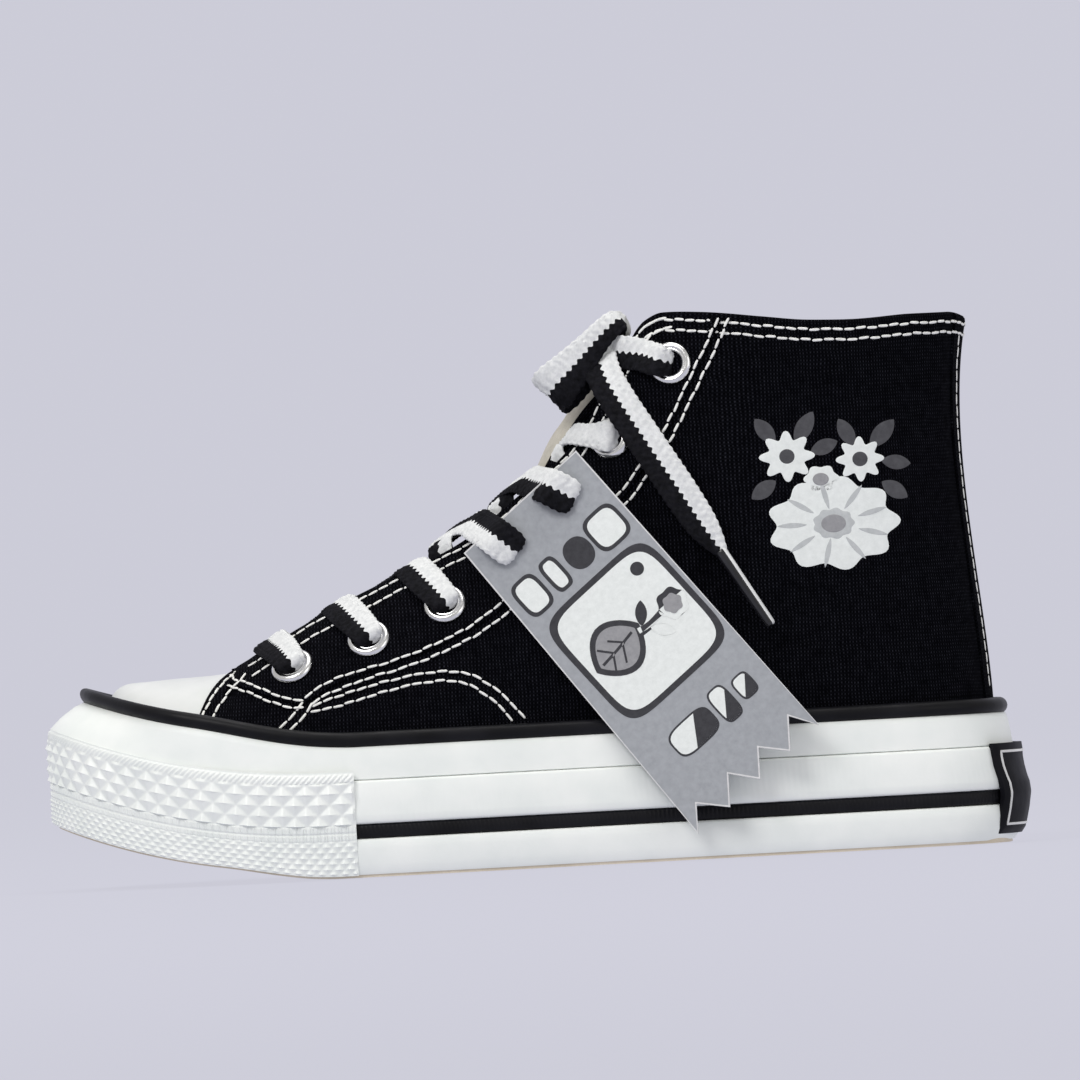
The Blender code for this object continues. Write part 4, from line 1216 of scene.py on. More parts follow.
FOOTBED_INSET = 11.2
FOOTBED_LOW = 28.9
FOOTBED_THICK = 4.4
FOOTBED_RIM = 2.2
FOOTBED_SPAN = (0.05, 11.95)


def add_footbed():
    """The removable insole: a cloth-topped foam sheet with a raised rim."""
    u = np.linspace(*FOOTBED_SPAN, 150)[:, None]
    v = np.linspace(0.0, 1.0, 60)[None, :]
    flat, _ = across_sole(u, v, FOOTBED_INSET + toe_lean(u), FOOTBED_LOW)
    edge = 1.0 - np.abs(2 * v - 1.0)
    top = FOOTBED_THICK + FOOTBED_RIM * (1 - smooth(edge / 0.45)) * smooth((u - 5.0) / 4.0)
    top = top - 0.9 * (1 - smooth(edge / 0.05)) - 1.2 * (1 - between(u, FOOTBED_SPAN, 0.5))
    outer, inner = (flat + raised(top))[:, ::-1], flat[:, ::-1]
    add_shell("footbed", outer, inner, "shoe", "footbed_foam", FOOTBED, inner[..., :2], nodes=("sockliner",))


TONGUE_SPAN = (3.62, 7.12)
TONGUE_EDGE_B = 0.8
TONGUE_EDGE_DEPTH = 6.0
TONGUE_DROP = 3.8
TONGUE_TOP_SWELL = 8.6
TONGUE_MIDDLE_SWELL = 2.6
TONGUE_WIDE = 46.0
TONGUE_LONG_PER_T = 30.0
# Name, node, range of t, range of v, lower and upper lift, slot, finish, rows and columns
TONGUE_STRIPS = [
    ("tongue_cloth", ("tongue",), TONGUE_SPAN, (0.0, 1.0), (-0.6, 1.0), "canvas_black", CANVAS, (90, 44)),
    ("tongue_lining", (), (3.66, 7.10), (0.02, 0.98), (-1.5, -0.5), "lining_cloth", LINING_CLOTH, (80, 40)),
    ("tongue_label", (), (6.12, 6.78), (0.3, 0.7), (0.9, 1.6), "lining_cloth", LINING_CLOTH, (26, 22)),
]


def tongue_middle(t, v, lift):
    """The tongue's surface: an arch just under the throat. v runs from its lateral to its medial edge."""
    lateral = layer(t, TONGUE_EDGE_B, -TONGUE_EDGE_DEPTH)
    medial = layer(TURN - t, TONGUE_EDGE_B, -TONGUE_EDGE_DEPTH)
    step = 0.02
    centre = (top_line(t) + top_line(TURN - t)) / 2
    along = top_line(t + step) - top_line(t - step)
    along[..., 1] = 0.0
    along = unit(along)
    out = np.stack([-along[..., 2], 0 * t, along[..., 0]], -1)
    drop = TONGUE_DROP - TONGUE_TOP_SWELL * smooth((t - 5.9) / 0.6) * smooth((7.1 - t) / 0.5)
    drop = drop - TONGUE_MIDDLE_SWELL * smooth((t - 4.7) / 0.6) * smooth((6.2 - t) / 0.4)
    centre = centre - out * drop[..., None]
    pole = (8 * centre - lateral - medial) / 6
    reach = np.stack([0 * t, top_line(TURN - t)[..., 1] * 1.05, 0 * t], -1)
    w = v[..., None]
    inner = 3 * (pole - reach) * w * (1 - w) ** 2 + 3 * (pole + reach) * w * w * (1 - w)
    spot = lateral * (1 - w) ** 3 + inner + medial * w**3
    return spot + out * lift[..., None]


def add_tongue_strip(name, nodes, t_range, v_range, lifts, slot, made, cells):
    """A soft sheet on the tongue between two lifts, thinner at its edges."""
    u = np.linspace(0.0, 1.0, cells[0])[:, None]
    v = np.linspace(0.0, 1.0, cells[1])[None, :]
    t = t_range[0] + (t_range[1] - t_range[0]) * u + 0 * v
    w = v_range[0] + (v_range[1] - v_range[0]) * v + 0 * u
    edge_v = np.minimum(v, 1 - v) * TONGUE_WIDE * (v_range[1] - v_range[0])
    edge_u = np.minimum(u, 1 - u) * TONGUE_LONG_PER_T * (t_range[1] - t_range[0])
    thick = lifts[1] - lifts[0]
    swell = smooth(np.minimum(edge_v, edge_u) / max(thick, 0.6) / 1.2)
    outer = tongue_middle(t, w, lifts[0] + thick * (0.5 + 0.5 * swell))
    inner = tongue_middle(t, w, lifts[0] + thick * (0.5 - 0.5 * swell))
    uv = np.stack([v * TONGUE_WIDE + 0 * u, outer[..., 2]], axis=-1)
    strip = add_shell(name, outer, inner, None, slot, made, uv, nodes=nodes)
    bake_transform(strip)


# Stitches

STITCH_LONG = 2.9
STITCH_GAP = 0.4
STITCH_HALF_WIDE = 0.38
CAPSULE_SIDES = 6
# Places along a stitch, from -1 to 1, and its thickness there
CAPSULE_RINGS = np.array([(-1.0, 0.35), (-0.8, 0.85), (-0.35, 1.0), (0.35, 1.0), (0.8, 0.85), (1.0, 0.35)])


def capsule_faces():
    """A stitch's faces: its rings of points joined, and its two ends."""
    count = len(CAPSULE_RINGS) * CAPSULE_SIDES
    quads = grid_quads(len(CAPSULE_RINGS), CAPSULE_SIDES, wrap_columns=True)[:, ::-1]
    ends = [tuple(range(CAPSULE_SIDES)), tuple(range(count - 1, count - CAPSULE_SIDES - 1, -1))]
    return [tuple(face) for face in quads] + ends


def stitch_parts(points, normals, half_tall=0.3):
    """Short lozenges along a line of points, flat on the surface that has these normals."""
    gone = travelled(points)
    count = max(1, int(gone[-1] / (STITCH_LONG + STITCH_GAP)))
    pitch = gone[-1] / count
    sides = np.arange(CAPSULE_SIDES) * math.tau / CAPSULE_SIDES
    ring_at, ring_size = CAPSULE_RINGS.T
    faces = capsule_faces()
    parts = []
    for k in range(count):
        at = (k + 0.5) * pitch + ring_at * (pitch - STITCH_GAP) / 2
        spot = at_distances(at, gone, points)
        normal = unit(at_distances(at, gone, normals))
        along = unit(np.gradient(spot, axis=0))
        across = unit(np.cross(normal, along))
        sway = 0.16 * math.sin(2.4 * k) + ring_at[:, None] * 0.1 * math.sin(1.7 * k + 1.0)
        spot = spot + across * sway
        ring = across[:, None] * (np.cos(sides) * STITCH_HALF_WIDE)[None, :, None]
        ring = ring + normal[:, None] * (np.sin(sides) * half_tall)[None, :, None]
        parts.append(((spot[:, None] + ring * ring_size[:, None, None]).reshape(-1, 3), faces))
    return parts


def surface_line(line, side, out, step=0.5):
    """Points and normals of a side view line, spaced evenly, on one side of the shoe."""
    t, b = locate(evenly(line, step)[0]).T
    t = on_side(t, side)
    return layer(t, b, out), canvas_normal(t, b)


# Each seam's lift over the canvas, and its two rows of stitches as side view places
SEAMS = {
    "cap_seam": (1.05, [
        [(-83.8, 59.6), (-86.0, 58), (-88.8, 55.6), (-91, 53), (-93.0, 50), (-94.6, 46.5)],
        [(-81.0, 59.0), (-82.6, 57.2), (-85.6, 54.6), (-88.0, 51.8), (-90.2, 49), (-91.8, 45.5)],
    ]),
    "throat": (1.15, [
        [(-80.5, 60.6), (-77, 62.4), (-68, 68), (-60, 72.5), (-50, 76.9), (-37, 82.9), (-27, 87.3),
         (-15, 92.8), (-3, 101.5), (8, 111), (14.5, 116.5), (20, 123.5), (27.5, 136.5), (35.2, 149),
         (40, 153.4), (44.5, 154.8)],
        [(-79.6, 57.8), (-75.4, 60.2), (-66.6, 65.5), (-58.6, 69.8), (-48.8, 74.2), (-36, 80.3), (-26, 84.8),
         (-13.6, 90.5), (-1.2, 99.3), (10, 108.8), (16.8, 114.8), (22.6, 122.3), (30, 135.3), (37.4, 147),
         (41, 150.6), (46, 152.2)],
    ]),
    "eyestay_front": (1.15, [
        [(-86, 58.4), (-84, 57.2), (-80, 55.8), (-74, 53.0), (-68.5, 51.0), (-65, 50.6)],
        [(-87, 55.6), (-85, 55.0), (-80, 53.2), (-75, 50.8), (-69, 48.9), (-65, 48.6)],
    ]),
    "vamp_side": (0.75, [
        [(-65.2, 50.6), (-67.5, 48.0), (-70.0, 45.4), (-72.6, 42.8)],
        [(-62.6, 50.2), (-64.6, 47.4), (-67.0, 44.8), (-69.6, 42.2)],
    ]),
    "eyestay_back": (1.15, [
        [(-65, 51.2), (-60, 54.4), (-55, 56.6), (-45, 59.2), (-40, 60.4), (-30, 63.6), (-20, 67.7),
         (-14, 71), (-7, 76), (4, 84.6), (14, 92.5), (21, 98.2), (28, 105.2), (33, 111.2), (39.6, 119.8),
         (44.6, 127.8), (49.6, 136.8),
         (54.6, 145.8), (59, 154.2)],
        [(-63, 49.4), (-59, 51.8), (-53, 54.0), (-44, 56.7), (-38, 58.1), (-28, 61.2), (-18.4, 65.2),
         (-12, 68.5), (-5, 73.4), (6, 82), (16, 89.9), (23, 95.6), (30.3, 102.8), (35.6, 109.2),
         (42.2, 118.2), (47.3, 126.6),
         (52.3, 135.6), (57.3, 144.6), (62, 154.0)],
    ]),
    "side_curve": (0.75, [
        [(-63, 49.0), (-56, 51.4), (-50, 53), (-44, 54.5), (-36, 56.1), (-29, 57), (-24, 57.0), (-19, 56.4),
         (-14.5, 54.4), (-10, 51.0), (-6, 47), (-2.6, 42.4)],
        [(-63.6, 47.6), (-60, 47.9), (-53, 49.4), (-46, 51.2), (-38, 53.1), (-30, 54.3), (-24, 54.4),
         (-19.5, 53.6), (-15.6, 51.6), (-11.6, 48.4), (-8.4, 45.2), (-6.0, 42)],
    ]),
}
COLLAR_ROWS = (2.6, 5.6)
COLLAR_START = 7.15
HEEL_STITCH_T = (11.5, 12.5)


def add_seam(name, parts):
    """One piece of thread from many stitches."""
    points, faces = joined(parts)
    add_piece("stitches_" + name, points, faces, "shoe", THREAD)


def add_stitches():
    """The double seams on both sides, the collar's two rows and the heel stay's edges."""
    for name, (out, lines) in SEAMS.items():
        for side, word in SIDES:
            rows = [stitch_parts(*surface_line(line, side, out)) for line in lines]
            add_seam(f"{name}_{word}", rows[0] + rows[1])
    parts = []
    t = np.linspace(COLLAR_START, TURN - COLLAR_START, 500)
    length = edge_frame(t)[-1]
    on_eyestay = from_toe(t) < EYESTAY_EDGE_T[1]
    out = 0.15 + (OVERLAY_OUT - 0.1) * on_eyestay + STAY_OUT * (np.abs(t - 12) < 0.8)
    for depth in COLLAR_ROWS:
        b = 1.0 - depth / length
        parts += stitch_parts(layer(t, b, out), canvas_normal(t, b))
    add_seam("collar", parts)
    parts = []
    b = np.linspace(0.14, 0.95, 240)
    for t in HEEL_STITCH_T:
        parts += stitch_parts(layer(t, b, STAY_OUT + 0.02), canvas_normal(t, b), half_tall=0.18)
    add_seam("heel_stay", parts)


def add_upper():
    """The canvas, the toe cap, the lining, the footbed, the tongue and the stitches."""
    for side, word in SIDES:
        add_quarter(side, word)
        add_eyestay(side, word)
        add_vamp(side, word)
    add_toe_cap()
    add_vamp_front()
    add_bridge()
    add_lining()
    add_heel_stay()
    add_footbed()
    for strip in TONGUE_STRIPS:
        add_tongue_strip(*strip)
    add_stitches()


# Laces

LACE_WIDE = 10.7
LACE_THICK = 1.7
LACE_RING = 36
LACE_STEP = 0.42
BRAID_PITCH = 2.3
BRAID_COLUMN = 1.3
BRAID_DEPTH = 0.56
BRAID_SLANT = 0.9
BRAID_SCALLOP = 0.03
TONE_WAVE = 0.45
KNOT_MIDDLE = np.array([25.0, 0.0, 146.0])
KNOT_SIZE = np.array([4.6, 1.0, 4.4])


def ribbon_mesh(rows, light_side):
    """A flat braided lace. rows are place (3), outward normal (3), width and thickness.

    light_side is -1 or 1 for the half with white yarn, and 2 or -2 for white yarn all over.
    """
    line, gone = evenly(np.array(rows, float), LACE_STEP)
    place, normal, wide, thick = line[:, :3], line[:, 3:6], line[:, 6], line[:, 7]
    along = unit(np.gradient(place, axis=0))
    across = unit(np.cross(along, normal))
    out = unit(np.cross(across, along))
    turn = np.arange(LACE_RING) * math.tau / LACE_RING
    a = signed_power(np.cos(turn), 0.75)
    c = signed_power(np.sin(turn), 0.7)
    s = gone[:, None]
    reach = a[None, :] * wide[:, None] / 2
    column = np.floor(reach / BRAID_COLUMN)
    inside = reach / BRAID_COLUMN - column
    slant = np.where(np.mod(column, 2) < 1, inside, 1.0 - inside)
    strand = np.sin(math.pi * (s / BRAID_PITCH + BRAID_SLANT * slant)) ** 2 * np.sin(math.pi * inside) ** 0.5
    scallop = 1.0 + BRAID_SCALLOP * np.cos(math.tau * s / BRAID_PITCH)
    plait = np.sign(c)[None, :] * BRAID_DEPTH * (strand - 0.5) * np.abs(c)[None, :]
    high = c[None, :] * thick[:, None] / 2 + plait
    shift = np.zeros(LACE_RING)
    shift[[LACE_RING // 4, 3 * LACE_RING // 4]] = TONE_WAVE
    wave = np.sin(math.tau * s / BRAID_PITCH) * shift[None, :]
    points = place[:, None] + across[:, None] * (reach * scallop + wave)[..., None]
    points = points + out[:, None] * high[..., None]
    faces = [tuple(f) for f in grid_quads(len(place), LACE_RING, wrap_columns=True)]
    middle = (reach + np.roll(reach, -1, axis=1)) / 2
    pale = ((middle * light_side > 0) | (abs(light_side) > 1))[:-1].astype(int).ravel().tolist()
    for first, flip in ((0, False), ((len(place) - 1) * LACE_RING, True)):
        loop = list(range(first, first + LACE_RING))
        faces.append(tuple(loop[::-1] if flip else loop))
        pale.append(0)
    return points.reshape(-1, 3), faces, pale, place


def add_lace(name, rows, light_side, body, nodes):
    """A braided lace: its piece and its middle line."""
    points, faces, pale, line = ribbon_mesh(rows, light_side)
    yarns = [BLACK_YARN, WHITE_YARN]
    return add_piece(name, points, faces, body, yarns, face_slots=pale, nodes=nodes), line


TAG_HINGE = np.array([4.3, -30.4, 98.4])
TAG_ALONG = unit(np.array([17.0, 0.0, 14.0]))
TAG_FALL = np.array([58.5, -17.0, -72.0])
TAG_DOWN = unit(TAG_FALL - TAG_ALONG * (TAG_FALL @ TAG_ALONG))
TAG_NORMAL = np.cross(TAG_DOWN, TAG_ALONG)
TAG_TOP = 8.0
TAG_HOLES = {4: -11.0, 5: 11.0}

# For the strands of rows 1 to 6: where a strand crosses the throat's edge, its lifts there, in the middle
# and at the far edge, and where it dives under that edge
CROSSINGS = [-73.3, -54.4, -32.8, -12.8, 2.6, 16.8]
EDGE_LIFTS = [0.9, 0.9, 0.9, 2.9, 2.5, 2.0]
MIDDLE_LIFTS = {-1: [1.9, -0.5, -0.5, 3.7, 3.2, 2.6], 1: [1.9, -1.9, -1.9, 2.2, 1.7, 1.2]}
FAR_LIFTS = [0.0, -1.5, -1.5, 2.7, 2.3, 1.9]
DIVES = [None, -70.5, -48.5, -25.0, -6.8, 9.1]
ROW_WIDTHS = {-1: [LACE_WIDE] * 5 + [7.0, LACE_WIDE], 1: [LACE_WIDE] * 7}
LIGHT_SIDES = {-1: [1, 1, 1, -1, 1, 2, 1], 1: [1, 1, 1, 1, -1, 1, 1]}
# How far the eyelets stand from the frame's own, seen from the side
EYELET_SHIFTS = [(0.3, -1.5), (0.5, -0.5), (0.6, -1.0), (0, 0), (0, 0), (0, 0), (0, 0)]
EYELET_SPOTS = [(x + dx, z + dz) for (x, z), (dx, dz) in zip(EYELETS, EYELET_SHIFTS)]


def throat_t(x):
    """The t at which the throat's edge is at x."""
    t = np.linspace(3.4, 7.1, 800)
    return float(np.interp(x, top_line(t)[:, 0], t))


def throat_out(t):
    """The direction out of the throat, square to it, in the shoe's middle plane."""
    step = 0.05
    along = edge_spot(t + step) - edge_spot(t - step)
    along[1] = 0.0
    along /= np.linalg.norm(along)
    return np.array([-along[2], 0.0, along[0]])


def flip_y(v, side):
    """A lateral place or direction, or its mirror on the medial side."""
    return np.array([v[0], v[1] * -side, v[2]])


def in_middle(spot):
    """A point moved square across to the shoe's middle plane."""
    return np.array([spot[0], 0.0, spot[2]])


def on_side_rows(rows, side):
    """Lace rows for a side, each with its place and its normal written out."""
    return [(*flip_y(p, side), *flip_y(n, side), w, k) for p, n, w, k in rows]


def eyelet_rows(hole, normal, heading):
    """A strand that comes up through its eyelet and turns towards the throat."""
    return [
        (hole - normal * 2.4 - heading * 1.2, unit(-heading + normal * 0.1), 6.0, 2.0),
        (hole + normal * 0.6 - heading * 1.1, unit(-heading + normal * 0.7), 7.8, 2.2),
        (hole + normal * 2.5 + heading * 0.6, unit(normal - heading * 0.35), 9.3, 2.0),
    ]


def tag_rows(row, over, lean, up, wide):
    """A strand that comes up through its hole in the tag and goes to the throat's edge instead."""
    hole, normal = TAG_HINGE + TAG_ALONG * TAG_HOLES[row], TAG_NORMAL
    heading = unit(over - hole)
    heading = unit(heading - normal * (heading @ normal))
    return [
        (hole - normal * 3.0, unit(-heading), 4.6, 2.6),
        (hole + normal * 0.2 - heading * 1.3, unit(-heading + normal * 0.4), 7.0, 2.4),
        (hole + normal * 1.5 - heading * 2.0, unit(normal - heading), 9.4, 2.0),
        (hole + normal * 2.4 + heading * 0.4, unit(normal - heading * 0.1), wide, 1.9),
        (hole + normal * 2.5 + heading * 6.0, unit(normal + up * 0.2), wide, LACE_THICK),
        (hole * 0.2 + over * 0.8 + normal * 2.2, unit(normal + lean), wide, LACE_THICK),
    ]


def crossing_rows(row, side, edge, up, wide):
    """A strand that crosses over the throat and dives under its far edge."""
    dive_t = TURN - throat_t(DIVES[row - 1])
    dive = edge_spot(dive_t)
    _, normal = canvas_spot(dive_t, 0.98, 0.0)
    middle = (in_middle(edge) + in_middle(dive)) / 2
    near, high, far = EDGE_LIFTS[row - 1], MIDDLE_LIFTS[side][row - 1], FAR_LIFTS[row - 1]
    under = dive - normal * 3.6 + up * (far * 0.5 - 2.2)
    inside = dive - normal * 5.0 - up * 6.5
    return [
        (edge * 0.6 + middle * 0.4 + up * (near * 0.4 + high * 0.6), up, wide, LACE_THICK),
        (middle + up * high, up, wide, LACE_THICK),
        (dive * 0.6 + middle * 0.4 + up * far, unit(up + normal * 0.1), wide, LACE_THICK),
        (under, unit(up + normal * 0.3), wide * 0.95, LACE_THICK),
        (inside, unit(-normal * 0.9 + up * 0.3), wide * 0.8, LACE_THICK),
    ]


def strand_rows(row, side):
    """A strand of rows 1 to 6, from its eyelet or its hole in the tag over the throat's edge.

    Row 1 goes to the middle, where both sides' strands meet, and the others cross to the far side.
    """
    hole, normal = canvas_spot(*locate(EYELET_SPOTS)[row - 1], 1.0)
    edge_t = throat_t(CROSSINGS[row - 1])
    edge = edge_spot(edge_t)
    _, edge_normal = canvas_spot(edge_t, 0.98, 0.0)
    up = throat_out(edge_t)
    lean = unit(edge_normal + up * 1.2)
    over = edge + lean * EDGE_LIFTS[row - 1]
    wide = ROW_WIDTHS[side][row - 1]
    if side < 0 and row in TAG_HOLES:
        rows = tag_rows(row, over, lean, up, wide)
    else:
        heading = unit(edge - hole - normal * ((edge - hole) @ normal))
        rows = eyelet_rows(hole, normal, heading)
        rows.append((hole * 0.45 + edge * 0.55 + normal * 3.0, unit(normal + lean * 0.3), wide, LACE_THICK))
    rows.append((over, lean, wide, LACE_THICK))
    if row == 1:
        middle = in_middle(edge) - np.array([0.4, 0.0, 0.0])
        rows.append((middle + up * MIDDLE_LIFTS[side][0], up, wide, LACE_THICK))
    else:
        rows += crossing_rows(row, side, edge, up, wide)
    return on_side_rows(rows, side)


def knot_strand_rows(side):
    """Row 7: from its eyelet straight to the knot."""
    hole, normal = canvas_spot(*locate(EYELET_SPOTS)[6], 1.0)
    heading = unit(np.array([-19.0, 0.0, 3.5]))
    outward = unit(np.array([0.1, -1.0, 0.2]))
    rows = [
        (hole - normal * 3.2, unit(-heading), 6.4, 2.0),
        (hole + normal * 0.5 + heading * 0.3, unit(-heading + normal * 0.6), 7.4, 2.2),
        (hole + normal * 2.9 + heading * 3.0, unit(normal - heading * 0.2), 9.4, 1.9),
        (np.array([36.0, -20.4, 144.6]), outward, 9.8, LACE_THICK),
        (np.array([30.0, -15.6, 145.8]), unit(np.array([-0.5, -1.0, 0.1])), 9.6, LACE_THICK),
        (np.array([26.6, -9.0, 146.4]), unit(np.array([-1.0, -0.7, 0.1])), 8.8, 2.0),
        (np.array([25.2, -3.0, 146.4]), unit(np.array([-1.0, -0.3, 0.2])), 8.0, 2.4),
    ]
    return on_side_rows(rows, side)


# Place, outward normal, width and thickness
LOOP_ROWS = [
    ((25.4, -3.0, 147.5), (0.5, -1.0, 0.3), 8.0, 2.0),
    ((28.4, -7.0, 150.6), (0.7, -1.0, 0.2), 8.0, 1.8),
    ((31.4, -10.6, 153.2), (0.8, -0.9, 0.5), 7.6, 1.7),
    ((30.2, -14.0, 155.0), (0.5, -0.7, 0.8), 7.2, 1.7),
    ((26.2, -16.4, 152.2), (0.1, -1.0, 0.1), 7.6, 1.8),
    ((21.4, -17.6, 147.4), (0.0, -1.0, 0.0), 9.0, 2.0),
    ((15.6, -18.4, 141.4), (-0.1, -1.0, 0.0), 11.8, 2.2),
    ((10.9, -17.6, 136.8), (-0.4, -0.95, -0.3), 13.8, 2.1),
    ((9.7, -14.4, 134.6), (-0.8, -0.1, -0.8), 13.2, 1.9),
    ((12.6, -12.0, 134.8), (-0.5, 0.9, -0.4), 11.6, 1.7),
    ((17.6, -10.8, 138.8), (-0.1, 1.0, 0.0), 10.2, 1.7),
    ((21.4, -7.4, 143.0), (-0.3, 1.0, 0.1), 8.8, 1.8),
    ((23.4, -3.4, 145.6), (-0.6, 1.0, 0.2), 7.6, 2.2),
]
FREE_ROWS = [
    ((24.6, -4.0, 147.0), (-0.6, -0.8, 0.5), 8.4, 2.0),
    ((24.6, -10.0, 146.4), (-0.5, -0.6, 0.7), 9.6, 1.8),
    ((24.2, -16.4, 143.4), (-0.2, -1.0, 0.5), 10.2, 1.7),
    ((25.6, -20.6, 138.4), (0.0, -1.0, 0.25), 10.4, 1.7),
    ((29.2, -24.2, 131.4), (0.05, -1.0, 0.2), 10.4, 1.7),
    ((34.2, -27.4, 123.0), (0.05, -1.0, 0.2), 10.4, 1.7),
    ((39.6, -29.8, 114.0), (0.05, -1.0, 0.18), 10.4, 1.7),
    ((45.0, -31.6, 105.0), (0.1, -1.0, 0.15), 10.4, 1.7),
    ((50.2, -32.8, 96.2), (0.1, -1.0, 0.12), 9.6, 1.8),
    ((53.6, -33.2, 90.8), (0.1, -1.0, 0.1), 7.0, 2.1),
    ((56.0, -33.5, 87.0), (0.1, -1.0, 0.1), 3.9, 2.7),
]
AGLET_START = np.array([55.6, -33.5, 87.7])
AGLET_END = np.array([69.0, -35.5, 65.5])
AGLET_RING = 24
AGLET_FLAT = 0.85
AGLET_DENT = 0.06
CORD_EVERY = 6


def turned_rows(rows, side):
    """Lace rows for a side, with their normals made 1 long."""
    return on_side_rows([(p, unit(np.array(n)), w, k) for p, n, w, k in rows], side)


def add_aglet(side, word):
    """The clear sleeve on the lace's tip: black cord with its white half showing."""
    start, end = flip_y(AGLET_START, side), flip_y(AGLET_END, side)
    along = unit(end - start)
    outward = flip_y(np.array([0.0, -1.0, 0.1]), side)
    across = unit(np.cross(along, outward))
    out = np.cross(across, along)
    length = np.linalg.norm(end - start)
    stations = [
        (0.0, 1.5), (0.3, 1.85), (0.9, 1.9), (length * 0.5, 1.8), (length - 1.0, 1.7), (length - 0.3, 1.55),
        (length, 1.1),
    ]
    turn = (np.arange(AGLET_RING) + 0.5) * math.tau / AGLET_RING
    dent = 1.0 - AGLET_DENT * np.cos(2 * turn)
    rings = []
    for gone, radius in stations:
        ring = across[None] * (np.cos(turn) * radius * dent)[:, None]
        ring = ring + out[None] * (np.sin(turn) * radius * AGLET_FLAT * dent)[:, None]
        rings.append(start + along * gone + ring)
    points = np.concatenate(rings)
    faces = [tuple(f) for f in grid_quads(len(stations), AGLET_RING, wrap_columns=True)]
    facing = [math.cos(turn[k % AGLET_RING] + math.pi / AGLET_RING) * side for k in range(len(faces))]
    light = [1 if share > 0.45 else 0 for share in facing] + [0, 0]
    faces += [tuple(range(AGLET_RING)), tuple(range(len(points) - 1, len(points) - AGLET_RING - 1, -1))]
    return add_piece(
        "aglet_" + word + "_sleeve", points, faces, "lace_end_" + word,
        [AGLET_BLACK, AGLET_WHITE], face_slots=light, nodes=("aglet_" + word,),
    )


def add_free_end(side, word):
    """The lace from the knot to its aglet, and the aglet."""
    rows = turned_rows(FREE_ROWS, side)
    piece, line = add_lace("lace_end_" + word + "_braid", rows, side, None, nodes=("lace_end_" + word,))
    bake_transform(piece)
    path = (line * MM)[::CORD_EVERY]
    path = np.concatenate([path, line[-1:] * MM]) if len(line) % CORD_EVERY != 1 else path
    sleeve = add_aglet(side, word)


def add_knot():
    """The overhand knot: one turn of lace round the crossing of the two sides."""
    rows = []
    for turn in np.linspace(-0.2, 1.08, 18) * math.tau:
        spoke = np.array([math.cos(turn), 0.0, math.sin(turn)])
        drift = np.array([0.0, 1.4 * math.sin(turn * 0.5), 0.0])
        rows.append((*(KNOT_MIDDLE + spoke * KNOT_SIZE + drift), *spoke, 9.0, 1.8))
    add_lace("lace_knot_turn", rows, 1, "shoe", ("lace_knot",))


def add_laces():
    """The free ends, the bar between the lowest eyelets, the crossed strands, the loops and the knot."""
    for side, word in SIDES:
        add_free_end(side, word)
    bar = strand_rows(1, -1) + strand_rows(1, 1)[:-1][::-1]
    add_lace("lace_bar_1_braid", bar, LIGHT_SIDES[-1][0], "shoe", ("lace_bar_1",))
    for side, word in SIDES:
        for row in range(2, 7):
            name = f"lace_{word}_{row}"
            light = LIGHT_SIDES[side][row - 1] * -side
            add_lace(name + "_braid", strand_rows(row, side), light, "shoe", (name,))
        add_lace(f"lace_{word}_7_braid", knot_strand_rows(side), -side, "shoe", (f"lace_{word}_7",))
        loop = turned_rows(LOOP_ROWS, side)
        add_lace(f"lace_loop_{word}_braid", loop, -side, "shoe", (f"lace_loop_{word}",))
    add_knot()


# Eyelets

# Section of an eyelet: distance from its axis and height over its seat
EYELET_SHAPE = [
    (3.55, -2.2), (3.55, 0.5), (3.7, 0.95), (4.05, 1.25), (4.4, 1.15), (4.7, 1.35), (5.2, 1.4), (5.75, 1.1),
    (6.15, 0.6), (6.25, 0.1), (5.8, -0.1), (4.2, -0.1), (4.0, -2.2),
]
EYELET_SEAT = 1.0
EYELET_RING = 44


def add_eyelets():
    """Rolled metal eyelets: a domed flange and a barrel that goes through the cloth."""
    shape = np.array(EYELET_SHAPE)
    turn = np.arange(EYELET_RING) * math.tau / EYELET_RING
    spots = locate(EYELET_SPOTS)
    for side, word in SIDES:
        for k, (t, b) in enumerate(spots, start=1):
            seat, normal = canvas_spot(on_side(t, side), b, EYELET_SEAT)
            first = unit(np.cross(normal, np.array([0.0, 0.0, 1.0])))
            second = np.cross(normal, first)
            spokes = first * np.cos(turn)[:, None] + second * np.sin(turn)[:, None]
            points = seat + spokes[:, None] * shape[None, :, :1] + normal * shape[None, :, 1:]
            faces = grid_quads(len(turn), len(shape), wrap_rows=True, wrap_columns=True)
            name = f"eyelet_{word}_{k}"
            points = points.reshape(-1, 3)
            add_piece(name + "_metal", points, faces, "shoe", STEEL, nodes=(name,))


# Hang tag and the print on the ankle

TAG_HALF_WIDE = 21.7
TAG_THICK = 0.6
TAG_HOLE_AT = 11.0
TAG_HOLE_SIZE = 2.6
# Width of the painted highlight round the card's edge
TAG_EDGE = 0.45
INK_THICK = 0.05
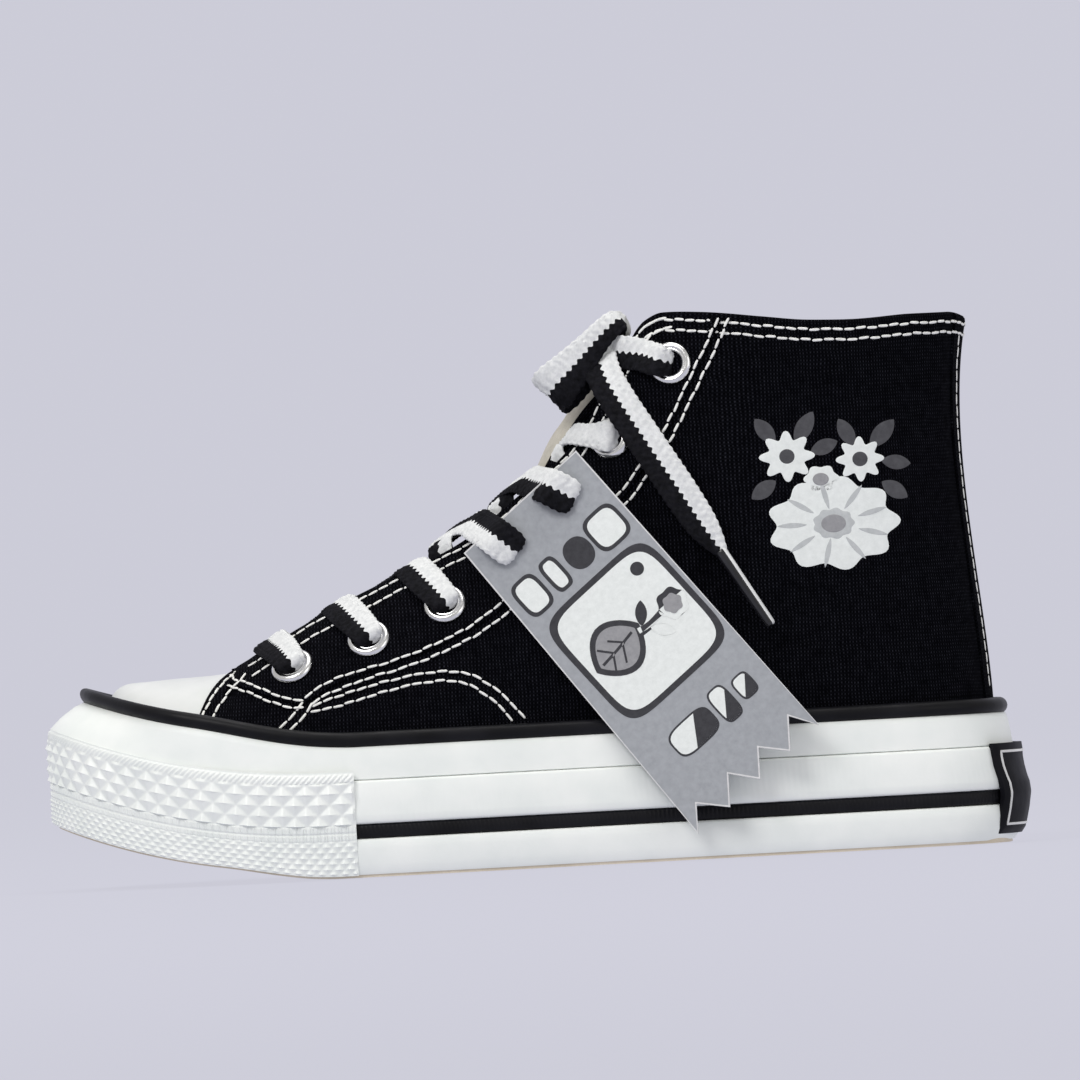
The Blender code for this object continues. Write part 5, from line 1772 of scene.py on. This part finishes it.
# The torn edge's corners, seen from the side
TAG_TEETH = [
    (45, 7.5), (45, 16), (54.5, 14.5), (54.5, 24), (63.5, 22), (63.5, 31), (72.5, 29.5), (72.5, 39.5),
    (81, 36.5),
]
TAG_CARD = fibres("tag_card_finish", (0.31, 0.325, 0.35), (0.375, 0.39, 0.42), 0.75, 0.03, 1300.0)
# A painted highlight: the pale band round the card's face stands for light on the paper's cut edge.
TAG_EDGE_HIGHLIGHT = fibres("tag_edge_highlight_finish", (0.58, 0.58, 0.59), (0.70, 0.70, 0.71), 0.8, 0.03, 1300.0)
INK_WHITE = fibres("ink_white_finish", (0.72, 0.75, 0.74), (0.82, 0.85, 0.84), 0.6, 0.02, 1500.0)
INK_GREY = fibres("ink_grey_finish", (0.26, 0.26, 0.275), (0.33, 0.33, 0.345), 0.6, 0.02, 1500.0)
INK_DARK = fibres("ink_dark_finish", (0.030, 0.030, 0.036), (0.048, 0.048, 0.056), 0.6, 0.02, 1500.0)
PRINT_SLATE = fibres("print_slate_finish", (0.055, 0.055, 0.062), (0.085, 0.085, 0.094), 0.8, 0.03, 1500.0)
PRINT_PALE = fibres("print_pale_finish", (0.44, 0.46, 0.47), (0.54, 0.56, 0.57), 0.7, 0.03, 1500.0)


def placed(x, y, middle, lean):
    """An outline turned by lean degrees and moved to its middle."""
    c, s = math.cos(math.radians(lean)), math.sin(math.radians(lean))
    return np.stack([middle[0] + x * c - y * s, middle[1] + x * s + y * c], axis=1)


def oval(middle, size, lobes=0, depth=0.0, count=56):
    """A closed outline: an ellipse scalloped by its lobes."""
    turn = np.linspace(0.0, math.tau, count, endpoint=False)
    reach = 1.0 + depth * np.cos(lobes * turn)
    return placed(np.cos(turn) * size[0] / 2 * reach, np.sin(turn) * size[1] / 2 * reach, middle, 0.0)


def leaf(middle, size, lean=0.0, count=40):
    """A pointed outline, size long and wide, turned by lean degrees."""
    turn = np.linspace(0.0, math.tau, count, endpoint=False)
    return placed(np.cos(turn) * size[0] / 2, signed_power(np.sin(turn), 1.7) * size[1] / 2, middle, lean)


def pill(middle, size, power=0.55, count=48):
    """A rounded box outline."""
    turn = np.linspace(0.0, math.tau, count, endpoint=False)
    x = signed_power(np.cos(turn), power) * size[0] / 2
    return placed(x, signed_power(np.sin(turn), power) * size[1] / 2, middle, 0.0)


def half_pill(middle, size):
    """The half of a pill that lies along and down from its slanting middle line."""
    ring = pill(middle, size)
    side = (ring[:, 0] - middle[0]) + (ring[:, 1] - middle[1]) * 0.8
    first = int(np.argmax((side > 0) & (np.roll(side, 1) <= 0)))
    ring, side = np.roll(ring, -first, axis=0), np.roll(side, -first)
    return ring[side > 0]


def stroke(points, width):
    """A line of a given width as an outline."""
    line = catmull(np.array(points, float), 8)
    along = unit(np.gradient(line, axis=0))
    side = np.stack([-along[:, 1], along[:, 0]], axis=1) * width / 2
    return np.concatenate([line + side, (line - side)[::-1]])


def tag_corners():
    """The card's outline as distances along it and down it."""
    base = np.stack([TAG_ALONG[[0, 2]], TAG_DOWN[[0, 2]]], axis=1)
    teeth = [np.linalg.solve(base, np.array([x, z]) - TAG_HINGE[[0, 2]]) for x, z in TAG_TEETH]
    return np.array([(TAG_HALF_WIDE, -TAG_TOP), (-TAG_HALF_WIDE, -TAG_TOP)] + teeth)


def shrunk(corners, by):
    """A polygon with every side moved in."""
    before, after = np.roll(corners, 1, axis=0), np.roll(corners, -1, axis=0)
    area = np.sum(corners[:, 0] * after[:, 1] - after[:, 0] * corners[:, 1])
    inward = []
    for edge in (corners - before, after - corners):
        across = np.stack([-edge[:, 1], edge[:, 0]], axis=1)
        inward.append(across / np.linalg.norm(edge, axis=1, keepdims=True) * np.sign(area))
    first, second = inward
    share = 1.0 + np.sum(first * second, axis=1, keepdims=True)
    return corners + (first + second) / np.maximum(share, 0.4) * by


def add_flat(name, rings, low, high, made, nodes=()):
    """Filled outlines on the tag, between two heights over the card's middle."""
    data = bpy.data.curves.new(name, "CURVE")
    data.dimensions = "2D"
    data.fill_mode = "BOTH"
    data.extrude = (high - low) / 2 * MM
    for ring in rings:
        spline = data.splines.new("POLY")
        spline.points.add(len(ring) - 1)
        for point, (along, down) in zip(spline.points, ring):
            point.co = (along * MM, -down * MM, 0.0, 1.0)
        spline.use_cyclic_u = True
    data.materials.append(made)
    flat = add_object(name, data)
    turn = Matrix([Vector(v) for v in (TAG_ALONG, -TAG_DOWN, TAG_NORMAL)]).transposed().to_4x4()
    middle = TAG_HINGE + TAG_NORMAL * (low + high) / 2
    flat.matrix_world = Matrix.Translation(Vector(middle) * MM) @ turn
    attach(flat, "hang_tag")
    if nodes:
        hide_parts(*nodes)


# Middle and size of each printed shape, in distances along the card and down it
TOP_BADGES = [((-15.4, 14.5), (9.0, 12.0)), ((-6.4, 14.5), (6.0, 11.0)), ((13.3, 14.5), (11.6, 12.0))]
TOP_DOT = ((2.6, 14.5), (8.6, 9.6))
LOW_BADGES = [((-7.7, 75.2), (15.0, 9.4)), ((4.2, 75.2), (6.4, 11.4)), ((11.9, 75.2), (6.0, 7.6))]
BADGE_LINE = 1.1
PANEL_MIDDLE = (-0.25, 42.5)
PANEL_SIZE = (39.5, 40.0)
PANEL_LINE = 1.8
LEAF_MIDDLE = (-7.6, 42.5)
LEAF_SIZE = (18.5, 17.0)
LEAF_LEAN = -8.0
FLOWER_MIDDLE = (12.6, 43.6)


def smaller(size, by):
    """A size made less by the same in both directions."""
    return size[0] - by, size[1] - by


def add_tag_card():
    """The grey card with its white panel, plain badges and a leaf."""
    half = TAG_THICK / 2
    corners = tag_corners()
    hole_size = (2 * TAG_HOLE_SIZE, 2 * TAG_HOLE_SIZE)
    holes = [oval((side * TAG_HOLE_AT, 0.0), hole_size, count=32) for side in (-1, 1)]
    add_flat("tag_card", [corners] + holes, -half, half, TAG_CARD, ("hang_tag",))
    # Painted highlight round the card's edge.
    add_flat("tag_edge_painted_highlight", [corners, shrunk(corners, TAG_EDGE)], half, half + INK_THICK, TAG_EDGE_HIGHLIGHT)
    first, second = half + INK_THICK, half + 2 * INK_THICK
    panel = pill(PANEL_MIDDLE, PANEL_SIZE, power=0.32, count=96)
    dark = [panel, pill(TOP_DOT[0], TOP_DOT[1], power=0.9)]
    dark += [pill(middle, size) for middle, size in TOP_BADGES + LOW_BADGES]
    add_flat("tag_print_dark", dark, half, first, INK_DARK)
    white = [pill(PANEL_MIDDLE, smaller(PANEL_SIZE, 2 * PANEL_LINE), power=0.34, count=96)]
    white += [pill(middle, smaller(size, 2 * BADGE_LINE)) for middle, size in TOP_BADGES]
    white += [pill(middle, smaller(size, BADGE_LINE)) for middle, size in LOW_BADGES]
    add_flat("tag_print_white", white, first, second, INK_WHITE)
    third = second + INK_THICK
    shapes = [leaf(LEAF_MIDDLE, LEAF_SIZE, LEAF_LEAN), stroke([(0.0, 42.9), (4.0, 43.6), (8.6, 43.2)], 1.7)]
    shapes += [leaf((4.0, 39.6), (7.4, 3.4), -52.0), leaf((5.6, 47.4), (7.4, 3.4), 52.0)]
    shapes += [oval(FLOWER_MIDDLE, (9.0, 9.0), lobes=6, depth=0.07), oval((11.75, 29.3), (4.0, 4.0))]
    shapes += [half_pill(middle, smaller(size, BADGE_LINE)) for middle, size in LOW_BADGES]
    add_flat("tag_leaf_dark", shapes, second, third, INK_DARK)
    inside = [leaf(LEAF_MIDDLE, smaller(LEAF_SIZE, 3.6), LEAF_LEAN)]
    inside += [oval(FLOWER_MIDDLE, (5.6, 5.6), lobes=6, depth=0.07)]
    add_flat("tag_leaf_grey", inside, third, third + INK_THICK, INK_GREY)
    veins = [stroke([(-14.0, 43.4), (-8.0, 42.8), (-1.6, 41.8)], 0.8)]
    for x in (-9.5, -5.5):
        start = (x, 43.2 + (x + 14) * -0.12)
        veins += [stroke([start, (x - 3.0, 43.2 + side * 4.2)], 0.6) for side in (-1, 1)]
    add_flat("tag_leaf_veins", veins, third + INK_THICK, third + 2 * INK_THICK, INK_DARK)


PATCH_RINGS = ((0.04, 1.0), (0.3, 1.0), (0.55, 1.0), (0.8, 1.0), (0.955, 1.0), (1.0, 0.7), (1.0, -0.6))


def patch(outline_xz, lift):
    """A thin raised patch on the outer quarter. Its outline is star-shaped about its middle."""
    ring = np.array(outline_xz)
    middle = ring.mean(axis=0)
    rows = [middle + (ring - middle) * share for share, _ in PATCH_RINGS]
    places = locate(np.concatenate(rows))
    heights = np.repeat([lift * high for _, high in PATCH_RINGS], len(ring))
    points = layer(places[:, 0], places[:, 1], heights)
    faces = [tuple(int(k) for k in f)[::-1] for f in grid_quads(len(rows), len(ring), wrap_columns=True)]
    return points, faces + [tuple(range(len(ring)))]


# Middle and size of each printed shape, seen from the side, and a leaf's lean
BLOSSOM = (88.4, 93.6)
BLOSSOM_SIZE = (35.5, 25.0)
DAISIES = [((76.1, 113.4), (13.4, 12.2)), ((96.9, 111.6), (11.6, 10.8))]
ANKLE_LEAVES = [
    ((70.2, 121.0), (9.0, 4.6), 128.0), ((81.4, 121.4), (10.4, 4.8), 58.0),
    ((86.8, 115.6), (8.4, 4.4), 20.0), ((93.4, 119.4), (9.0, 4.4), 118.0),
    ((103.6, 118.6), (10.4, 5.0), 46.0), ((107.2, 110.2), (8.4, 4.2), -8.0),
    ((69.0, 104.2), (8.6, 4.6), 214.0), ((106.4, 102.4), (8.6, 4.6), -34.0),
]


def add_ankle_print():
    """Flowers printed on the outer ankle: two daisies over a full blossom, with leaves."""
    petals = [oval(BLOSSOM, BLOSSOM_SIZE, lobes=9, depth=0.085, count=96)]
    petals += [oval(middle, size, lobes=8, depth=0.2, count=80) for middle, size in DAISIES]
    petals += [oval((85.6, 106.6), (9.4, 7.2), lobes=6, depth=0.1)]
    dark = [oval(middle, (4.4, 4.2), count=24) for middle, _ in DAISIES]
    spokes = []
    for k in range(9):
        turn = (k + 0.5) / 9 * math.tau
        reach = np.array([math.cos(turn) * BLOSSOM_SIZE[0], math.sin(turn) * BLOSSOM_SIZE[1]]) * 0.335
        lean = math.degrees(math.atan2(reach[1], reach[0]))
        spokes.append(leaf(np.array(BLOSSOM) + reach, (8.6, 1.5), lean))
    groups = [
        ("ankle_print_leaves", [leaf(*row) for row in ANKLE_LEAVES], 0.10, PRINT_SLATE),
        ("ankle_print_petals", petals, 0.16, INK_WHITE),
        ("ankle_print_folds", spokes + [oval(BLOSSOM, (11.5, 8.6), lobes=9, depth=0.06)], 0.22, PRINT_PALE),
        ("ankle_print_hearts", [oval((85.4, 106.4), (4.6, 3.6)), oval(BLOSSOM, (7.2, 5.2))], 0.27, INK_GREY),
        ("ankle_print_seeds", dark, 0.24, PRINT_SLATE),
    ]
    for name, outlines, lift, made in groups:
        points, faces = joined([patch(ring, lift) for ring in outlines])
        add_piece(name, points, faces, "shoe", made)


def finish_cad_nodes():
    """Finishes for the frame's parts that show as they are."""
    finishes = {
        "midsole": MIDSOLE_FOAM, "insole_board": BOARD, "toe_puff": STIFFENER, "heel_counter": STIFFENER,
    }
    for name, made in finishes.items():
        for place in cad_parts[name].material_slots:
            place.link = "OBJECT"
            place.material = made


add_laces()
add_eyelets()
add_sole()
add_upper()
add_tag_card()
add_ankle_print()
finish_cad_nodes()
add_stage()
